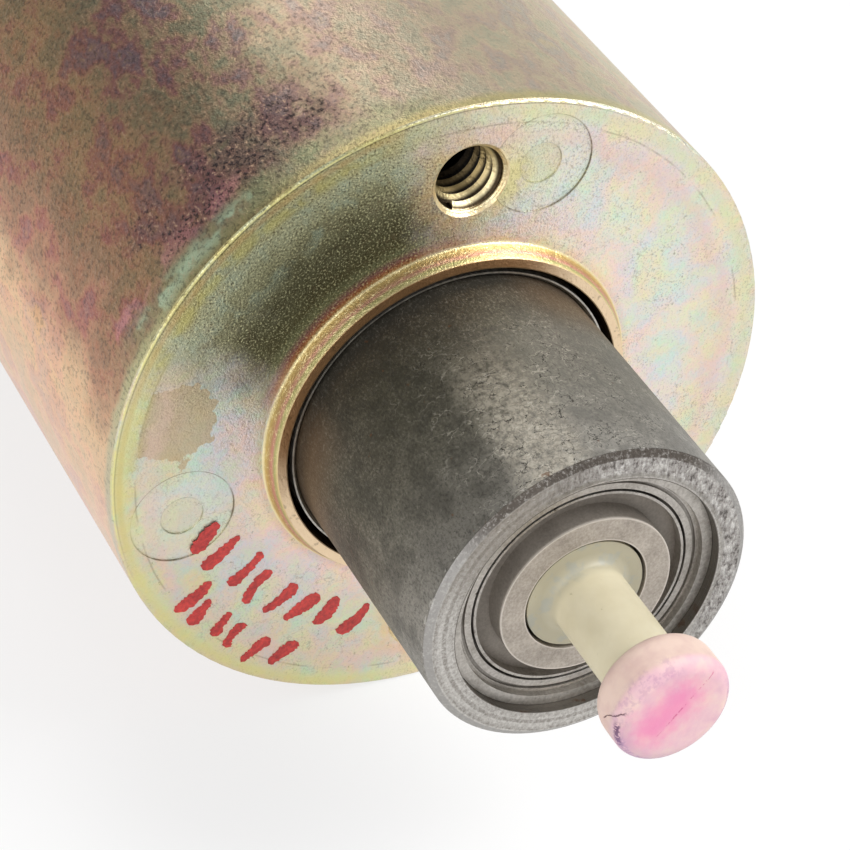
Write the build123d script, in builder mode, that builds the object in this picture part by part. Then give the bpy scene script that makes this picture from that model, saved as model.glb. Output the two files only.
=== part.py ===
from build123d import *

import os

# Starter solenoid of a lorry engine, in millimetres.
# +X runs along the solenoid's axis, out of the plunger end, and +Z is up.
# The origin is the centre of the mounting face, where the solenoid bolts to the starter.
# Places along X are given as back (the lower X) and front (the higher X) of a piece.

# Clearances
running_clearance = 0.1    # plunger in its sleeve, rod in its bore, pin in its bush
seat_clearance = 0.05      # pieces that are fitted into one another and stay there
free_clearance = 0.3       # pieces that pass one another without touching
pick_margin = 0.01         # half the slice of X in which an edge is picked

# Housing: a cup with a thick front wall and a raised collar round the bore
shell_wall = 4.0
front_wall = 12.0
collar_height = 2.1
collar_gap = 0.8           # round the guide sleeve
collar_wall = 1.1          # at the collar's top
collar_slope = 0.9         # how much wider it is at its foot
collar_foot_round = 0.4
rim_round = 0.3
tapped_hole_radius = 4.05
tapped_hole_depth = 10.5
tapped_hole_chamfer = 0.5
tapped_hole_inset = 9.4    # from the rim to the hole's centre
tapped_hole_count = 2
clamp_mark_radius = 6.1
clamp_mark_depth = 0.15
clamp_point_radius = 2.5   # the deeper spot in the middle of each mark
clamp_point_depth = 0.3
clamp_mark_inset = 7.8     # from the rim to the mark's centre
clamp_mark_angles = (75.0, 192.0)
rolled_lip = 1.5           # how far the rolled edge reaches inward
rolled_lip_thickness = 1.5
rolled_lip_length = 2.0

# Coil, built up from the guide sleeve to the housing's bore
coil_chamber = 60.0
front_insulator_thickness = 0.8
rear_insulator_thickness = 1.2
bobbin_flange = 2.0
bobbin_wall = 1.5
bobbin_flange_margin = 1.8  # how far the flanges stand above the tape
pull_in_depth = 6.4
hold_in_depth = 5.5
wrap_thickness = 0.6
coil_gap = 0.5             # between the flanges and the housing
lead_radius = 0.9
lead_hole_radius = 1.3
lead_hole_margin = 0.15    # between a lead's hole and the bobbin's tube
lead_angles = (90, 180, 270)

# Guide sleeve
sleeve_wall = 0.5
sleeve_front = 1.6
sleeve_mouth = 0.3         # chamfer inside the sleeve's front edge
sleeve_overlap = 10.0      # length of sleeve that goes over the fixed core

# Plunger
plunger_reach = 34.0       # how far the plunger stands out of the mounting face at rest
plunger_back = -34.0
plunger_stroke = 12.0
plunger_end_gap = 0.2      # what is left between plunger and core at the end of the stroke
plunger_rim_chamfer = 0.55  # along the axis
plunger_rim_slope = 0.8     # across it
plunger_back_chamfer = 1.5
plunger_rim_land = 3.4     # from the plunger's side to the ring's seat
ring_ledge = 0.6
ring_seat_depth = 2.1
cavity_depth = 38.0
spring_pocket_radius = 9.0
spring_pocket_depth = 14.0
push_post_radius = 4.5

# Fixed core with the closing plate, in one piece
closing_plate = 9.0
core_pocket_depth = 8.0

# Ring stack in the plunger's mouth
retaining_ring_width = 1.2
retaining_ring_thickness = 0.85
retainer_flange = 1.2
retainer_play = 0.3        # between the retainer and the ring round it
retainer_rise = 0.1        # how far the retainer stands above the ring's seat
retainer_lip = 0.3         # narrow lip round the retainer's bore
retainer_gap_width = 0.3   # deep groove outside the lip
retainer_gap_depth = 0.8
retainer_land = 0.75       # flat between the two grooves
retainer_groove_width = 0.4
retainer_groove_depth = 0.3
retainer_edge = 0.1        # outside the shallow groove

# Bush that guides the pull pin
bush_wall = 2.85
bush_height = 2.7          # how far it stands above its flange
bush_flange = 2.0
bush_gap = 2.1             # between the bush and the retainer's lip

# Pull pin, moulded in one piece
pin_play = 0.35            # between the shank and its bush
pin_shank_radius = 6.8
pin_shank_step = 0.2       # how far the shank ends below the bush's face
pin_neck_radius = 4.2
pin_neck_fillet = 1.2
pin_neck_length = 13.3
pin_head_length = 6.2
pin_head_radius = 6.65
pin_head_back_round = 2.4
pin_head_front_round = 1.5
pin_foot_gap = 1.1         # between the foot and the cavity's wall
pin_foot_thickness = 3.0

# Contact rod and its bridge
rod_radius = 3.5
rod_flange_radius = 6.0
rod_flange_thickness = 1.5
rod_flange_gap = 0.2
rod_tail = 3.0             # length of rod behind the clip
contact_spring_length = 7.3
bush_disc_radius = 9.0
bush_disc_thickness = 1.5
disc_gap = 0.6             # between the disc and the leads that pass it
disc_bore = 5.5
disc_thickness = 3.0
contact_travel = 4.0
contact_overtravel = 1.0
contact_end_gap = 0.1
rod_washer_radius = 7.0
rod_washer_thickness = 1.0
rod_clip_radius = 6.0
rod_clip_thickness = 1.0
rod_clip_mouth = 5.0       # width of the clip's opening
rod_groove_radius = 2.9

# Terminal cap
gasket_thickness = 0.6
cap_spigot_gap = 0.5       # between the spigot and the rolled lip
cap_spigot = 1.2
cap_flange_inset = 1.5     # from the housing's side to the flange's edge
cap_flange = 5.0
cap_flange_chamfer = 1.0
cap_body_chamfer = 1.0
cap_wall = 3.0
cap_end_wall = 9.4
cap_pocket_radius = 8.5
cap_pocket_floor = 3.0
cap_boss_margin = 0.2      # from the washer's edge to the boss's edge
cap_boss_height = 5.0
cap_small_boss_radius = 5.5
cap_small_boss_height = 2.5
cap_barrier_thickness = 3.0
cap_barrier_height = 12.0
cap_barrier_gap = 2.0      # between the barrier and the small bosses
cap_screw_inset = 2.8      # from the spigot's edge to the screw's centre
cap_screw_count = 4
screw_angle = 45
cap_screw_radius = 2.0
cap_screw_head_radius = 3.5
cap_screw_head_gap = 0.2   # between the head and the cap's body
cap_screw_head = 3.2
cap_screw_grip = 6.5       # length of screw in the closing plate
cap_screw_socket_width = 3.0

# Main terminals: battery on one side, motor on the other
stud_radius = 5.0
stud_thread_depth = 0.5    # from the thread's outside to its mean radius
stud_point = 0.8
stud_head = 5.0
stud_head_width = 13.0
stud_head_round = 1.5
stud_head_gap = 1.0        # between a stud's head and the chamber's wall
stud_reach = 29.0          # how far a stud stands out of its boss
stud_seal_radius = 7.4
stud_seal_depth = 1.6
stud_washer_radius = 9.0
stud_washer_thickness = 1.8
stud_nut_width = 16.0
clamp_nut_height = 6.0
lock_washer_thickness = 2.2
lock_washer_radius = 8.0
lock_washer_gap = 1.6
cable_nut_height = 8.0

# Small terminals: switch above, earth below
small_stud_radius = 2.5
small_thread_depth = 0.3
small_stud_point = 0.5
small_stud_head_radius = 3.5
small_stud_head = 2.0
small_stud_reach = 15.0
small_nut_width = 8.0
small_nut_height = 4.0

nut_corner_slope = 0.55     # how far a nut's turned corner runs down its side

# Springs: wire radius and number of turns of each
return_wire = 0.8
return_turns = 5
meshing_wire = 1.0
meshing_turns = 5
contact_wire = 0.7
contact_turns = 3
carrier_wire = 0.5
carrier_turns = 3

# Radii that follow from the sizes above, from the pull pin outward
bush_bore = pin_shank_radius + pin_play
bush_radius = bush_bore + bush_wall
retainer_bore = bush_radius + bush_gap
retainer_gap_bore = retainer_bore + retainer_lip
retainer_gap_radius = retainer_gap_bore + retainer_gap_width
retainer_groove_bore = retainer_gap_radius + retainer_land
retainer_groove_radius = retainer_groove_bore + retainer_groove_width
retainer_top_radius = retainer_groove_radius + retainer_edge
retaining_ring_bore = retainer_top_radius + retainer_play
retaining_ring_radius = retaining_ring_bore + retaining_ring_width
ring_seat_radius = retaining_ring_radius + seat_clearance
cavity_radius = ring_seat_radius - ring_ledge
cavity_fit = cavity_radius - running_clearance
pin_foot_radius = cavity_radius - pin_foot_gap
plunger_radius = ring_seat_radius + plunger_rim_land
sleeve_bore = plunger_radius + running_clearance
sleeve_radius = sleeve_bore + sleeve_wall
core_radius = plunger_radius - seat_clearance
collar_bore_radius = sleeve_radius + collar_gap
collar_top_radius = collar_bore_radius + collar_wall
collar_foot_radius = collar_top_radius + collar_slope
bobbin_bore = sleeve_radius + seat_clearance
bobbin_tube = bobbin_bore + bobbin_wall
pull_in_bore = bobbin_tube + seat_clearance
pull_in_radius = pull_in_bore + pull_in_depth
hold_in_bore = pull_in_radius + seat_clearance
hold_in_radius = hold_in_bore + hold_in_depth
wrap_bore = hold_in_radius + seat_clearance
wrap_radius = wrap_bore + wrap_thickness
bobbin_flange_radius = wrap_radius + bobbin_flange_margin
shell_bore = bobbin_flange_radius + coil_gap
housing_radius = shell_bore + shell_wall
tapped_hole_circle = 2 * (housing_radius - tapped_hole_inset)
clamp_mark_circle = housing_radius - clamp_mark_inset
wire_exit_radius = bobbin_tube + lead_hole_radius + lead_hole_margin
disc_radius = wire_exit_radius - lead_radius - disc_gap
rod_bore = rod_radius + running_clearance
cap_spigot_radius = shell_bore - rolled_lip - cap_spigot_gap
cap_flange_radius = housing_radius - cap_flange_inset
cap_screw_circle = cap_spigot_radius - cap_screw_inset
cap_body_radius = cap_screw_circle - cap_screw_head_radius - cap_screw_head_gap
cap_chamber_radius = cap_body_radius - cap_wall
cap_boss_radius = stud_washer_radius + cap_boss_margin
stud_offset = cap_chamber_radius - stud_head_width / 2 - stud_head_gap
small_stud_offset = cap_chamber_radius - small_stud_head_radius - stud_head_gap
cap_barrier_width = 2 * (small_stud_offset - cap_small_boss_radius - cap_barrier_gap)
stud_hole = stud_radius + running_clearance
stud_shank_radius = stud_radius - stud_thread_depth
small_stud_hole = small_stud_radius + running_clearance
small_shank_radius = small_stud_radius - small_thread_depth

# Places along X that follow from the sizes above
wall_back = -front_wall
chamber_back = wall_back - coil_chamber
plate_back = chamber_back - closing_plate
shell_back = plate_back - rolled_lip_thickness
core_front = plunger_back - plunger_stroke - plunger_end_gap
sleeve_back = core_front - sleeve_overlap
bobbin_front = wall_back - front_insulator_thickness
bobbin_back = chamber_back + rear_insulator_thickness
winding_front = bobbin_front - bobbin_flange - seat_clearance
winding_back = bobbin_back + bobbin_flange + seat_clearance
cavity_floor = plunger_reach - cavity_depth
ring_seat = plunger_reach - ring_seat_depth
retainer_back = ring_seat - retainer_flange
retainer_top = ring_seat + retainer_rise
bush_back = retainer_back - bush_flange
bush_front = retainer_back + bush_height
pin_shank_front = bush_front - pin_shank_step
pin_head_back = pin_shank_front + pin_neck_length
pin_head_front = pin_head_back + pin_head_length
pin_foot_front = cavity_floor + pin_foot_thickness
rod_tip = core_front + contact_travel
rod_flange_front = plate_back - rod_flange_gap
rod_flange_back = rod_flange_front - rod_flange_thickness
front_bush_front = rod_flange_back - contact_spring_length
disc_front = front_bush_front - bush_disc_thickness
disc_back = disc_front - disc_thickness
rear_bush_back = disc_back - bush_disc_thickness
rod_washer_back = rear_bush_back - rod_washer_thickness
rod_clip_back = rod_washer_back - rod_clip_thickness
rod_back = rod_clip_back - rod_tail
contact_face = disc_back - (contact_travel - contact_overtravel) - contact_end_gap
stud_seat = contact_face - stud_head
cap_front = plate_back - gasket_thickness
cap_spigot_back = cap_front - cap_spigot
cap_flange_back = cap_spigot_back - cap_flange
cap_end = stud_seat - cap_end_wall
cap_pocket_back = cap_end + cap_pocket_floor
cap_boss_end = cap_end - cap_boss_height
small_boss_end = cap_end - cap_small_boss_height
small_head_front = stud_seat + small_stud_head
washer_back = cap_boss_end - stud_washer_thickness
clamp_nut_back = washer_back - clamp_nut_height
lock_washer_back = clamp_nut_back - lock_washer_thickness
cable_nut_back = lock_washer_back - cable_nut_height
small_nut_back = small_boss_end - small_nut_height
stud_end = cap_boss_end - stud_reach
small_stud_end = small_boss_end - small_stud_reach


def cylinder(back, front, radius, bore=0.0, mode=Mode.ADD, centre=(0, 0)):
    """Adds or cuts a round bar or tube between two places on X."""
    with BuildSketch(Plane.YZ.offset(back)) as section:
        with Locations(centre):
            Circle(radius)
            if bore > 0:
                Circle(bore, mode=Mode.SUBTRACT)
    extrude(section.sketch, amount=front - back, mode=mode)


def lead_holes():
    """Sketches the three holes that the winding leads pass through."""
    for angle in lead_angles:
        with PolarLocations(wire_exit_radius, 1, start_angle=angle):
            Circle(lead_hole_radius)


def hexagon_nut(height, width, bore):
    """Makes one nut on the X axis, with its corners turned off at its outer end."""
    corner = width / 3 ** 0.5
    with BuildPart() as nut:
        with BuildSketch(Plane.YZ):
            RegularPolygon(width / 2, 6, major_radius=False)
            Circle(bore, mode=Mode.SUBTRACT)
        extrude(amount=height)
        with BuildSketch(Plane.XY):
            with BuildLine():
                Polyline(
                    (0, 0),
                    (0, width / 2),
                    ((corner - width / 2) * nut_corner_slope, corner),
                    (height, corner),
                    (height, 0),
                    close=True,
                )
            make_face()
        revolve(axis=Axis.X, mode=Mode.INTERSECT)
    return nut.part


def coil_spring(back, front, mean_radius, wire_radius, turns):
    """Adds a helical spring of square wire that touches both seats."""
    height = front - back - 2 * wire_radius
    with BuildLine():
        wire = Helix(
            pitch=height / turns,
            height=height,
            radius=mean_radius,
            center=(back + wire_radius, 0, 0),
            direction=(1, 0, 0),
        )
    with BuildSketch(Plane(origin=wire @ 0, z_dir=wire % 0)) as section:
        RegularPolygon(wire_radius, 4)
    sweep(section.sketch, path=wire, is_frenet=True)


def finish(piece, name):
    """Labels a piece and writes it to its own file."""
    piece.label = name
    export_step(piece, f"parts/{name}.step")


os.makedirs("parts", exist_ok=True)

# Housing, turned from one forging
with BuildPart() as housing:
    with BuildSketch(Plane.XY):
        with BuildLine():
            Polyline(
                (shell_back, shell_bore - rolled_lip),
                (shell_back, housing_radius),
                (0, housing_radius),
                (0, collar_foot_radius),
                (collar_height, collar_top_radius),
                (collar_height, collar_bore_radius),
                (wall_back, collar_bore_radius),
                (wall_back, shell_bore),
                (plate_back + rolled_lip_length, shell_bore),
                (plate_back, shell_bore - rolled_lip),
                close=True,
            )
        make_face()
    revolve(axis=Axis.X)
    front_circles = housing.edges().filter_by(GeomType.CIRCLE).group_by(Axis.X)[-2]
    fillet(front_circles.sort_by(SortBy.RADIUS)[-1], radius=rim_round)
    front_circles = housing.edges().filter_by(GeomType.CIRCLE).group_by(Axis.X)[-2]
    fillet(front_circles.sort_by(SortBy.RADIUS)[0], radius=collar_foot_round)
    with BuildSketch(Plane.YZ):
        with PolarLocations(tapped_hole_circle / 2, tapped_hole_count, start_angle=90):
            Circle(tapped_hole_radius)
    extrude(amount=-tapped_hole_depth, mode=Mode.SUBTRACT)
    circles = housing.edges().filter_by(GeomType.CIRCLE)
    face_circles = circles.filter_by_position(Axis.X, -pick_margin, pick_margin)
    hole_mouths = face_circles.group_by(SortBy.RADIUS)[0]
    chamfer(hole_mouths, length=tapped_hole_chamfer)
    for angle in clamp_mark_angles:
        for radius, depth in (
            (clamp_mark_radius, clamp_mark_depth),
            (clamp_point_radius, clamp_point_depth),
        ):
            with BuildSketch(Plane.YZ):
                with PolarLocations(clamp_mark_circle, 1, start_angle=angle):
                    Circle(radius)
            extrude(amount=-depth, mode=Mode.SUBTRACT)
finish(housing.part, "housing")

# Guide sleeve, a thin drawn tube that the plunger runs in
with BuildPart() as guide_sleeve:
    cylinder(sleeve_back, sleeve_front, sleeve_radius, sleeve_bore)
    mouth_circles = guide_sleeve.edges().filter_by(GeomType.CIRCLE).group_by(Axis.X)[-1]
    chamfer(mouth_circles.sort_by(SortBy.RADIUS)[0], length=sleeve_mouth)
finish(guide_sleeve.part, "guide_sleeve")

# Insulating rings at the two ends of the coil
with BuildPart() as front_insulator:
    cylinder(bobbin_front, wall_back, bobbin_flange_radius, bobbin_bore)
finish(front_insulator.part, "front_insulator")

with BuildPart() as rear_insulator:
    cylinder(chamber_back, bobbin_back, bobbin_flange_radius, bobbin_bore)
    with BuildSketch(Plane.YZ.offset(chamber_back)):
        lead_holes()
    extrude(amount=rear_insulator_thickness, mode=Mode.SUBTRACT)
finish(rear_insulator.part, "rear_insulator")

# Bobbin with its two windings and the tape over them
with BuildPart() as coil_bobbin:
    cylinder(bobbin_back, bobbin_front, bobbin_tube, bobbin_bore)
    cylinder(bobbin_front - bobbin_flange, bobbin_front, bobbin_flange_radius, bobbin_bore)
    cylinder(bobbin_back, bobbin_back + bobbin_flange, bobbin_flange_radius, bobbin_bore)
    with BuildSketch(Plane.YZ.offset(bobbin_back)):
        lead_holes()
    extrude(amount=bobbin_flange, mode=Mode.SUBTRACT)
finish(coil_bobbin.part, "coil_bobbin")

with BuildPart() as pull_in_winding:
    cylinder(winding_back, winding_front, pull_in_radius, pull_in_bore)
finish(pull_in_winding.part, "pull_in_winding")

with BuildPart() as hold_in_winding:
    cylinder(winding_back, winding_front, hold_in_radius, hold_in_bore)
finish(hold_in_winding.part, "hold_in_winding")

with BuildPart() as winding_wrap:
    cylinder(winding_back, winding_front, wrap_radius, wrap_bore)
finish(winding_wrap.part, "winding_wrap")

# Fixed core and closing plate, held by the housing's rolled lip
with BuildPart() as fixed_core:
    cylinder(plate_back, chamber_back, shell_bore - seat_clearance)
    plate_rim = fixed_core.edges().filter_by(GeomType.CIRCLE).sort_by(Axis.X)[0]
    plate_rear_face = fixed_core.faces().sort_by(Axis.X)[0]
    chamfer(plate_rim, length=rolled_lip, length2=rolled_lip_length, reference=plate_rear_face)
    cylinder(chamber_back, core_front, core_radius)
    cylinder(core_front - core_pocket_depth, core_front, spring_pocket_radius, mode=Mode.SUBTRACT)
    cylinder(plate_back, core_front, rod_bore, mode=Mode.SUBTRACT)
    with BuildSketch(Plane.YZ.offset(plate_back)):
        lead_holes()
    extrude(amount=closing_plate, mode=Mode.SUBTRACT)
    with BuildSketch(Plane.YZ.offset(plate_back)):
        with PolarLocations(cap_screw_circle, cap_screw_count, start_angle=screw_angle):
            Circle(cap_screw_radius + seat_clearance)
    extrude(amount=cap_screw_grip, mode=Mode.SUBTRACT)
finish(fixed_core.part, "fixed_core")

# Plunger, with the spring pocket behind and the pin's cavity in front
with BuildPart() as plunger:
    with BuildSketch(Plane.XY):
        with BuildLine():
            Polyline(
                (plunger_back, 0),
                (plunger_back, push_post_radius),
                (plunger_back + spring_pocket_depth, push_post_radius),
                (plunger_back + spring_pocket_depth, spring_pocket_radius),
                (plunger_back, spring_pocket_radius),
                (plunger_back, plunger_radius - plunger_back_chamfer),
                (plunger_back + plunger_back_chamfer, plunger_radius),
                (plunger_reach - plunger_rim_chamfer, plunger_radius),
                (plunger_reach, plunger_radius - plunger_rim_slope),
                (plunger_reach, ring_seat_radius),
                (ring_seat, ring_seat_radius),
                (ring_seat, cavity_radius),
                (cavity_floor, cavity_radius),
                (cavity_floor, 0),
                close=True,
            )
        make_face()
    revolve(axis=Axis.X)
finish(plunger.part, "plunger")

with BuildPart() as plunger_return_spring:
    coil_spring(
        core_front - core_pocket_depth,
        plunger_back + spring_pocket_depth,
        (push_post_radius + spring_pocket_radius) / 2,
        return_wire,
        return_turns,
    )
finish(plunger_return_spring.part, "plunger_return_spring")

# Ring stack that closes the plunger's mouth
with BuildPart() as retaining_ring:
    ring_top = ring_seat + retaining_ring_thickness
    cylinder(ring_seat, ring_top, retaining_ring_radius, retaining_ring_bore)
finish(retaining_ring.part, "retaining_ring")

with BuildPart() as spring_retainer:
    with BuildSketch(Plane.XY):
        with BuildLine():
            Polyline(
                (retainer_back, retainer_bore),
                (retainer_back, cavity_fit),
                (ring_seat, cavity_fit),
                (ring_seat, retainer_top_radius),
                (retainer_top, retainer_top_radius),
                (retainer_top, retainer_groove_radius),
                (retainer_top - retainer_groove_depth, retainer_groove_radius),
                (retainer_top - retainer_groove_depth, retainer_groove_bore),
                (retainer_top, retainer_groove_bore),
                (retainer_top, retainer_gap_radius),
                (retainer_top - retainer_gap_depth, retainer_gap_radius),
                (retainer_top - retainer_gap_depth, retainer_gap_bore),
                (retainer_top, retainer_gap_bore),
                (retainer_top, retainer_bore),
                close=True,
            )
        make_face()
    revolve(axis=Axis.X)
finish(spring_retainer.part, "spring_retainer")

with BuildPart() as pin_bush:
    cylinder(bush_back, retainer_back, cavity_fit, bush_bore)
    cylinder(retainer_back, bush_front, bush_radius, bush_bore)
finish(pin_bush.part, "pin_bush")

# Pull pin: foot, shank, neck and drum head moulded as one
with BuildPart() as pull_pin:
    with BuildSketch(Plane.XY):
        with BuildLine():
            Polyline(
                (cavity_floor, 0),
                (cavity_floor, pin_foot_radius),
                (pin_foot_front, pin_foot_radius),
                (pin_foot_front, pin_shank_radius),
                (pin_shank_front, pin_shank_radius),
                (pin_shank_front, pin_neck_radius),
                (pin_head_back, pin_neck_radius),
                (pin_head_back, pin_head_radius),
                (pin_head_front, pin_head_radius),
                (pin_head_front, 0),
                close=True,
            )
        make_face()
    revolve(axis=Axis.X)
    circles = pull_pin.edges().filter_by(GeomType.CIRCLE)
    neck_root = circles.filter_by_position(
        Axis.X, pin_shank_front - pick_margin, pin_shank_front + pick_margin
    )
    fillet(neck_root.sort_by(SortBy.RADIUS)[0], radius=pin_neck_fillet)
    circles = pull_pin.edges().filter_by(GeomType.CIRCLE)
    head_back = circles.filter_by_position(
        Axis.X, pin_head_back - pick_margin, pin_head_back + pick_margin
    )
    fillet(head_back.sort_by(SortBy.RADIUS)[-1], radius=pin_head_back_round)
    circles = pull_pin.edges().filter_by(GeomType.CIRCLE)
    fillet(circles.sort_by(Axis.X)[-1], radius=pin_head_front_round)
finish(pull_pin.part, "pull_pin")

with BuildPart() as meshing_spring:
    coil_spring(
        pin_foot_front,
        bush_back,
        (pin_shank_radius + cavity_radius) / 2,
        meshing_wire,
        meshing_turns,
    )
finish(meshing_spring.part, "meshing_spring")

# Contact rod with its flange, groove and the small parts behind the bridge
with BuildPart() as contact_rod:
    cylinder(rod_back, rod_tip, rod_radius)
    cylinder(rod_flange_back, rod_flange_front, rod_flange_radius)
    cylinder(rod_clip_back, rod_washer_back, rod_flange_radius, rod_groove_radius, mode=Mode.SUBTRACT)
finish(contact_rod.part, "contact_rod")

with BuildPart() as rod_washer:
    cylinder(rod_washer_back, rear_bush_back, rod_washer_radius, rod_bore)
finish(rod_washer.part, "rod_washer")

with BuildPart() as rod_clip:
    with BuildSketch(Plane.YZ.offset(rod_clip_back)):
        Circle(rod_clip_radius)
        Circle(rod_groove_radius + seat_clearance, mode=Mode.SUBTRACT)
        with Locations((0, rod_clip_radius)):
            Rectangle(rod_clip_mouth, rod_clip_radius * 2, mode=Mode.SUBTRACT)
    extrude(amount=rod_clip_thickness)
finish(rod_clip.part, "rod_clip")

with BuildPart() as contact_disc:
    cylinder(disc_back, disc_front, disc_radius, disc_bore)
finish(contact_disc.part, "contact_disc")

with BuildPart() as front_insulating_bush:
    cylinder(disc_front, front_bush_front, bush_disc_radius, rod_radius + free_clearance)
    cylinder(disc_back, disc_front, disc_bore - seat_clearance, rod_radius + free_clearance)
finish(front_insulating_bush.part, "front_insulating_bush")

with BuildPart() as rear_insulating_bush:
    cylinder(rear_bush_back, disc_back, bush_disc_radius, rod_radius + free_clearance)
finish(rear_insulating_bush.part, "rear_insulating_bush")

with BuildPart() as contact_spring:
    coil_spring(
        front_bush_front,
        rod_flange_back,
        rod_flange_radius - contact_wire,
        contact_wire,
        contact_turns,
    )
finish(contact_spring.part, "contact_spring")

with BuildPart() as carrier_spring:
    coil_spring(
        cap_pocket_back,
        rod_clip_back,
        rod_clip_radius - 2 * carrier_wire,
        carrier_wire,
        carrier_turns,
    )
finish(carrier_spring.part, "carrier_spring")

# Terminal cap, moulded, with its gasket and screws
with BuildPart() as cap_gasket:
    with BuildSketch(Plane.YZ.offset(cap_front)):
        Circle(cap_spigot_radius)
        Circle(cap_chamber_radius, mode=Mode.SUBTRACT)
        with PolarLocations(cap_screw_circle, cap_screw_count, start_angle=screw_angle):
            Circle(cap_screw_radius + running_clearance, mode=Mode.SUBTRACT)
    extrude(amount=gasket_thickness)
finish(cap_gasket.part, "cap_gasket")

with BuildPart() as terminal_cap:
    cylinder(cap_spigot_back, cap_front, cap_spigot_radius)
    cylinder(cap_flange_back, cap_spigot_back, cap_flange_radius)
    flange_rim = terminal_cap.edges().filter_by(GeomType.CIRCLE).sort_by(Axis.X)[0]
    chamfer(flange_rim, length=cap_flange_chamfer)
    cylinder(cap_end, cap_flange_back, cap_body_radius)
    body_rim = terminal_cap.edges().filter_by(GeomType.CIRCLE).sort_by(Axis.X)[0]
    chamfer(body_rim, length=cap_body_chamfer)
    for side in (-1, 1):
        cylinder(cap_boss_end, cap_end, cap_boss_radius, centre=(side * stud_offset, 0))
        cylinder(small_boss_end, cap_end, cap_small_boss_radius, centre=(0, side * small_stud_offset))
    with BuildSketch(Plane.YZ.offset(cap_end - cap_barrier_height)):
        RectangleRounded(cap_barrier_thickness, cap_barrier_width, cap_barrier_thickness / 3)
    extrude(amount=cap_barrier_height)
    cylinder(stud_seat, cap_front, cap_chamber_radius, mode=Mode.SUBTRACT)
    cylinder(cap_pocket_back, stud_seat, cap_pocket_radius, mode=Mode.SUBTRACT)
    for side in (-1, 1):
        main = (side * stud_offset, 0)
        small = (0, side * small_stud_offset)
        cylinder(cap_boss_end, stud_seat, stud_hole, mode=Mode.SUBTRACT, centre=main)
        cylinder(
            cap_boss_end,
            cap_boss_end + stud_seal_depth,
            stud_seal_radius,
            mode=Mode.SUBTRACT,
            centre=main,
        )
        cylinder(small_boss_end, stud_seat, small_stud_hole, mode=Mode.SUBTRACT, centre=small)
    with BuildSketch(Plane.YZ.offset(cap_flange_back)):
        with PolarLocations(cap_screw_circle, cap_screw_count, start_angle=screw_angle):
            Circle(cap_screw_radius + running_clearance)
    extrude(amount=cap_front - cap_flange_back, mode=Mode.SUBTRACT)
finish(terminal_cap.part, "terminal_cap")

with BuildPart() as cap_screws:
    with BuildSketch(Plane.YZ.offset(cap_flange_back)):
        with PolarLocations(cap_screw_circle, cap_screw_count, start_angle=screw_angle):
            Circle(cap_screw_radius)
    extrude(amount=plate_back + cap_screw_grip - running_clearance - cap_flange_back)
    with BuildSketch(Plane.YZ.offset(cap_flange_back)):
        with PolarLocations(cap_screw_circle, cap_screw_count, start_angle=screw_angle):
            Circle(cap_screw_head_radius)
            RegularPolygon(cap_screw_socket_width / 2, 6, major_radius=False, mode=Mode.SUBTRACT)
    extrude(amount=-cap_screw_head)
finish(cap_screws.part, "cap_screws")

# Main terminals
for name, side in (("battery_stud", 1), ("motor_stud", -1)):
    with BuildPart() as stud:
        with BuildSketch(Plane.YZ.offset(stud_seat)):
            with Locations((side * stud_offset, 0)):
                RectangleRounded(stud_head_width, stud_head_width, stud_head_round)
        extrude(amount=stud_head)
        centre = (side * stud_offset, 0)
        cylinder(cable_nut_back, stud_seat, stud_shank_radius, centre=centre)
        cylinder(stud_end, cable_nut_back, stud_radius, centre=centre)
        chamfer(stud.edges().filter_by(GeomType.CIRCLE).sort_by(Axis.X)[0], length=stud_point)
    finish(stud.part, name)

main_centres = [(side * stud_offset, 0) for side in (-1, 1)]
small_centres = [(0, side * small_stud_offset) for side in (-1, 1)]

with BuildPart() as stud_seals:
    for centre in main_centres:
        cylinder(
            cap_boss_end,
            cap_boss_end + stud_seal_depth,
            stud_seal_radius - seat_clearance,
            stud_shank_radius + seat_clearance,
            centre=centre,
        )
finish(stud_seals.part, "stud_seals")

with BuildPart() as stud_washers:
    for centre in main_centres:
        cylinder(washer_back, cap_boss_end, stud_washer_radius, stud_hole, centre=centre)
finish(stud_washers.part, "stud_washers")

clamp_nut = hexagon_nut(clamp_nut_height, stud_nut_width, stud_shank_radius + seat_clearance)
with BuildPart() as clamp_nuts:
    with Locations([(clamp_nut_back, y, z) for y, z in main_centres]):
        add(clamp_nut)
finish(clamp_nuts.part, "clamp_nuts")

with BuildPart() as lock_washers:
    with BuildSketch(Plane.YZ.offset(lock_washer_back)):
        with Locations(main_centres):
            Circle(lock_washer_radius)
            Circle(stud_hole, mode=Mode.SUBTRACT)
        with Locations([(y, z + lock_washer_radius) for y, z in main_centres]):
            Rectangle(lock_washer_gap, lock_washer_radius, mode=Mode.SUBTRACT)
    extrude(amount=lock_washer_thickness)
finish(lock_washers.part, "lock_washers")

cable_nut = hexagon_nut(cable_nut_height, stud_nut_width, stud_shank_radius + seat_clearance)
with BuildPart() as cable_nuts:
    with Locations([(cable_nut_back, y, z) for y, z in main_centres]):
        add(cable_nut)
finish(cable_nuts.part, "cable_nuts")

# Small terminals
for name, side in (("switch_stud", 1), ("earth_stud", -1)):
    centre = (0, side * small_stud_offset)
    with BuildPart() as stud:
        cylinder(stud_seat, small_head_front, small_stud_head_radius, centre=centre)
        cylinder(small_nut_back, stud_seat, small_shank_radius, centre=centre)
        cylinder(small_stud_end, small_nut_back, small_stud_radius, centre=centre)
        chamfer(stud.edges().filter_by(GeomType.CIRCLE).sort_by(Axis.X)[0], length=small_stud_point)
    finish(stud.part, name)

small_nut = hexagon_nut(small_nut_height, small_nut_width, small_shank_radius + seat_clearance)
with BuildPart() as small_nuts:
    with Locations([(small_nut_back, y, z) for y, z in small_centres]):
        add(small_nut)
finish(small_nuts.part, "small_nuts")

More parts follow.
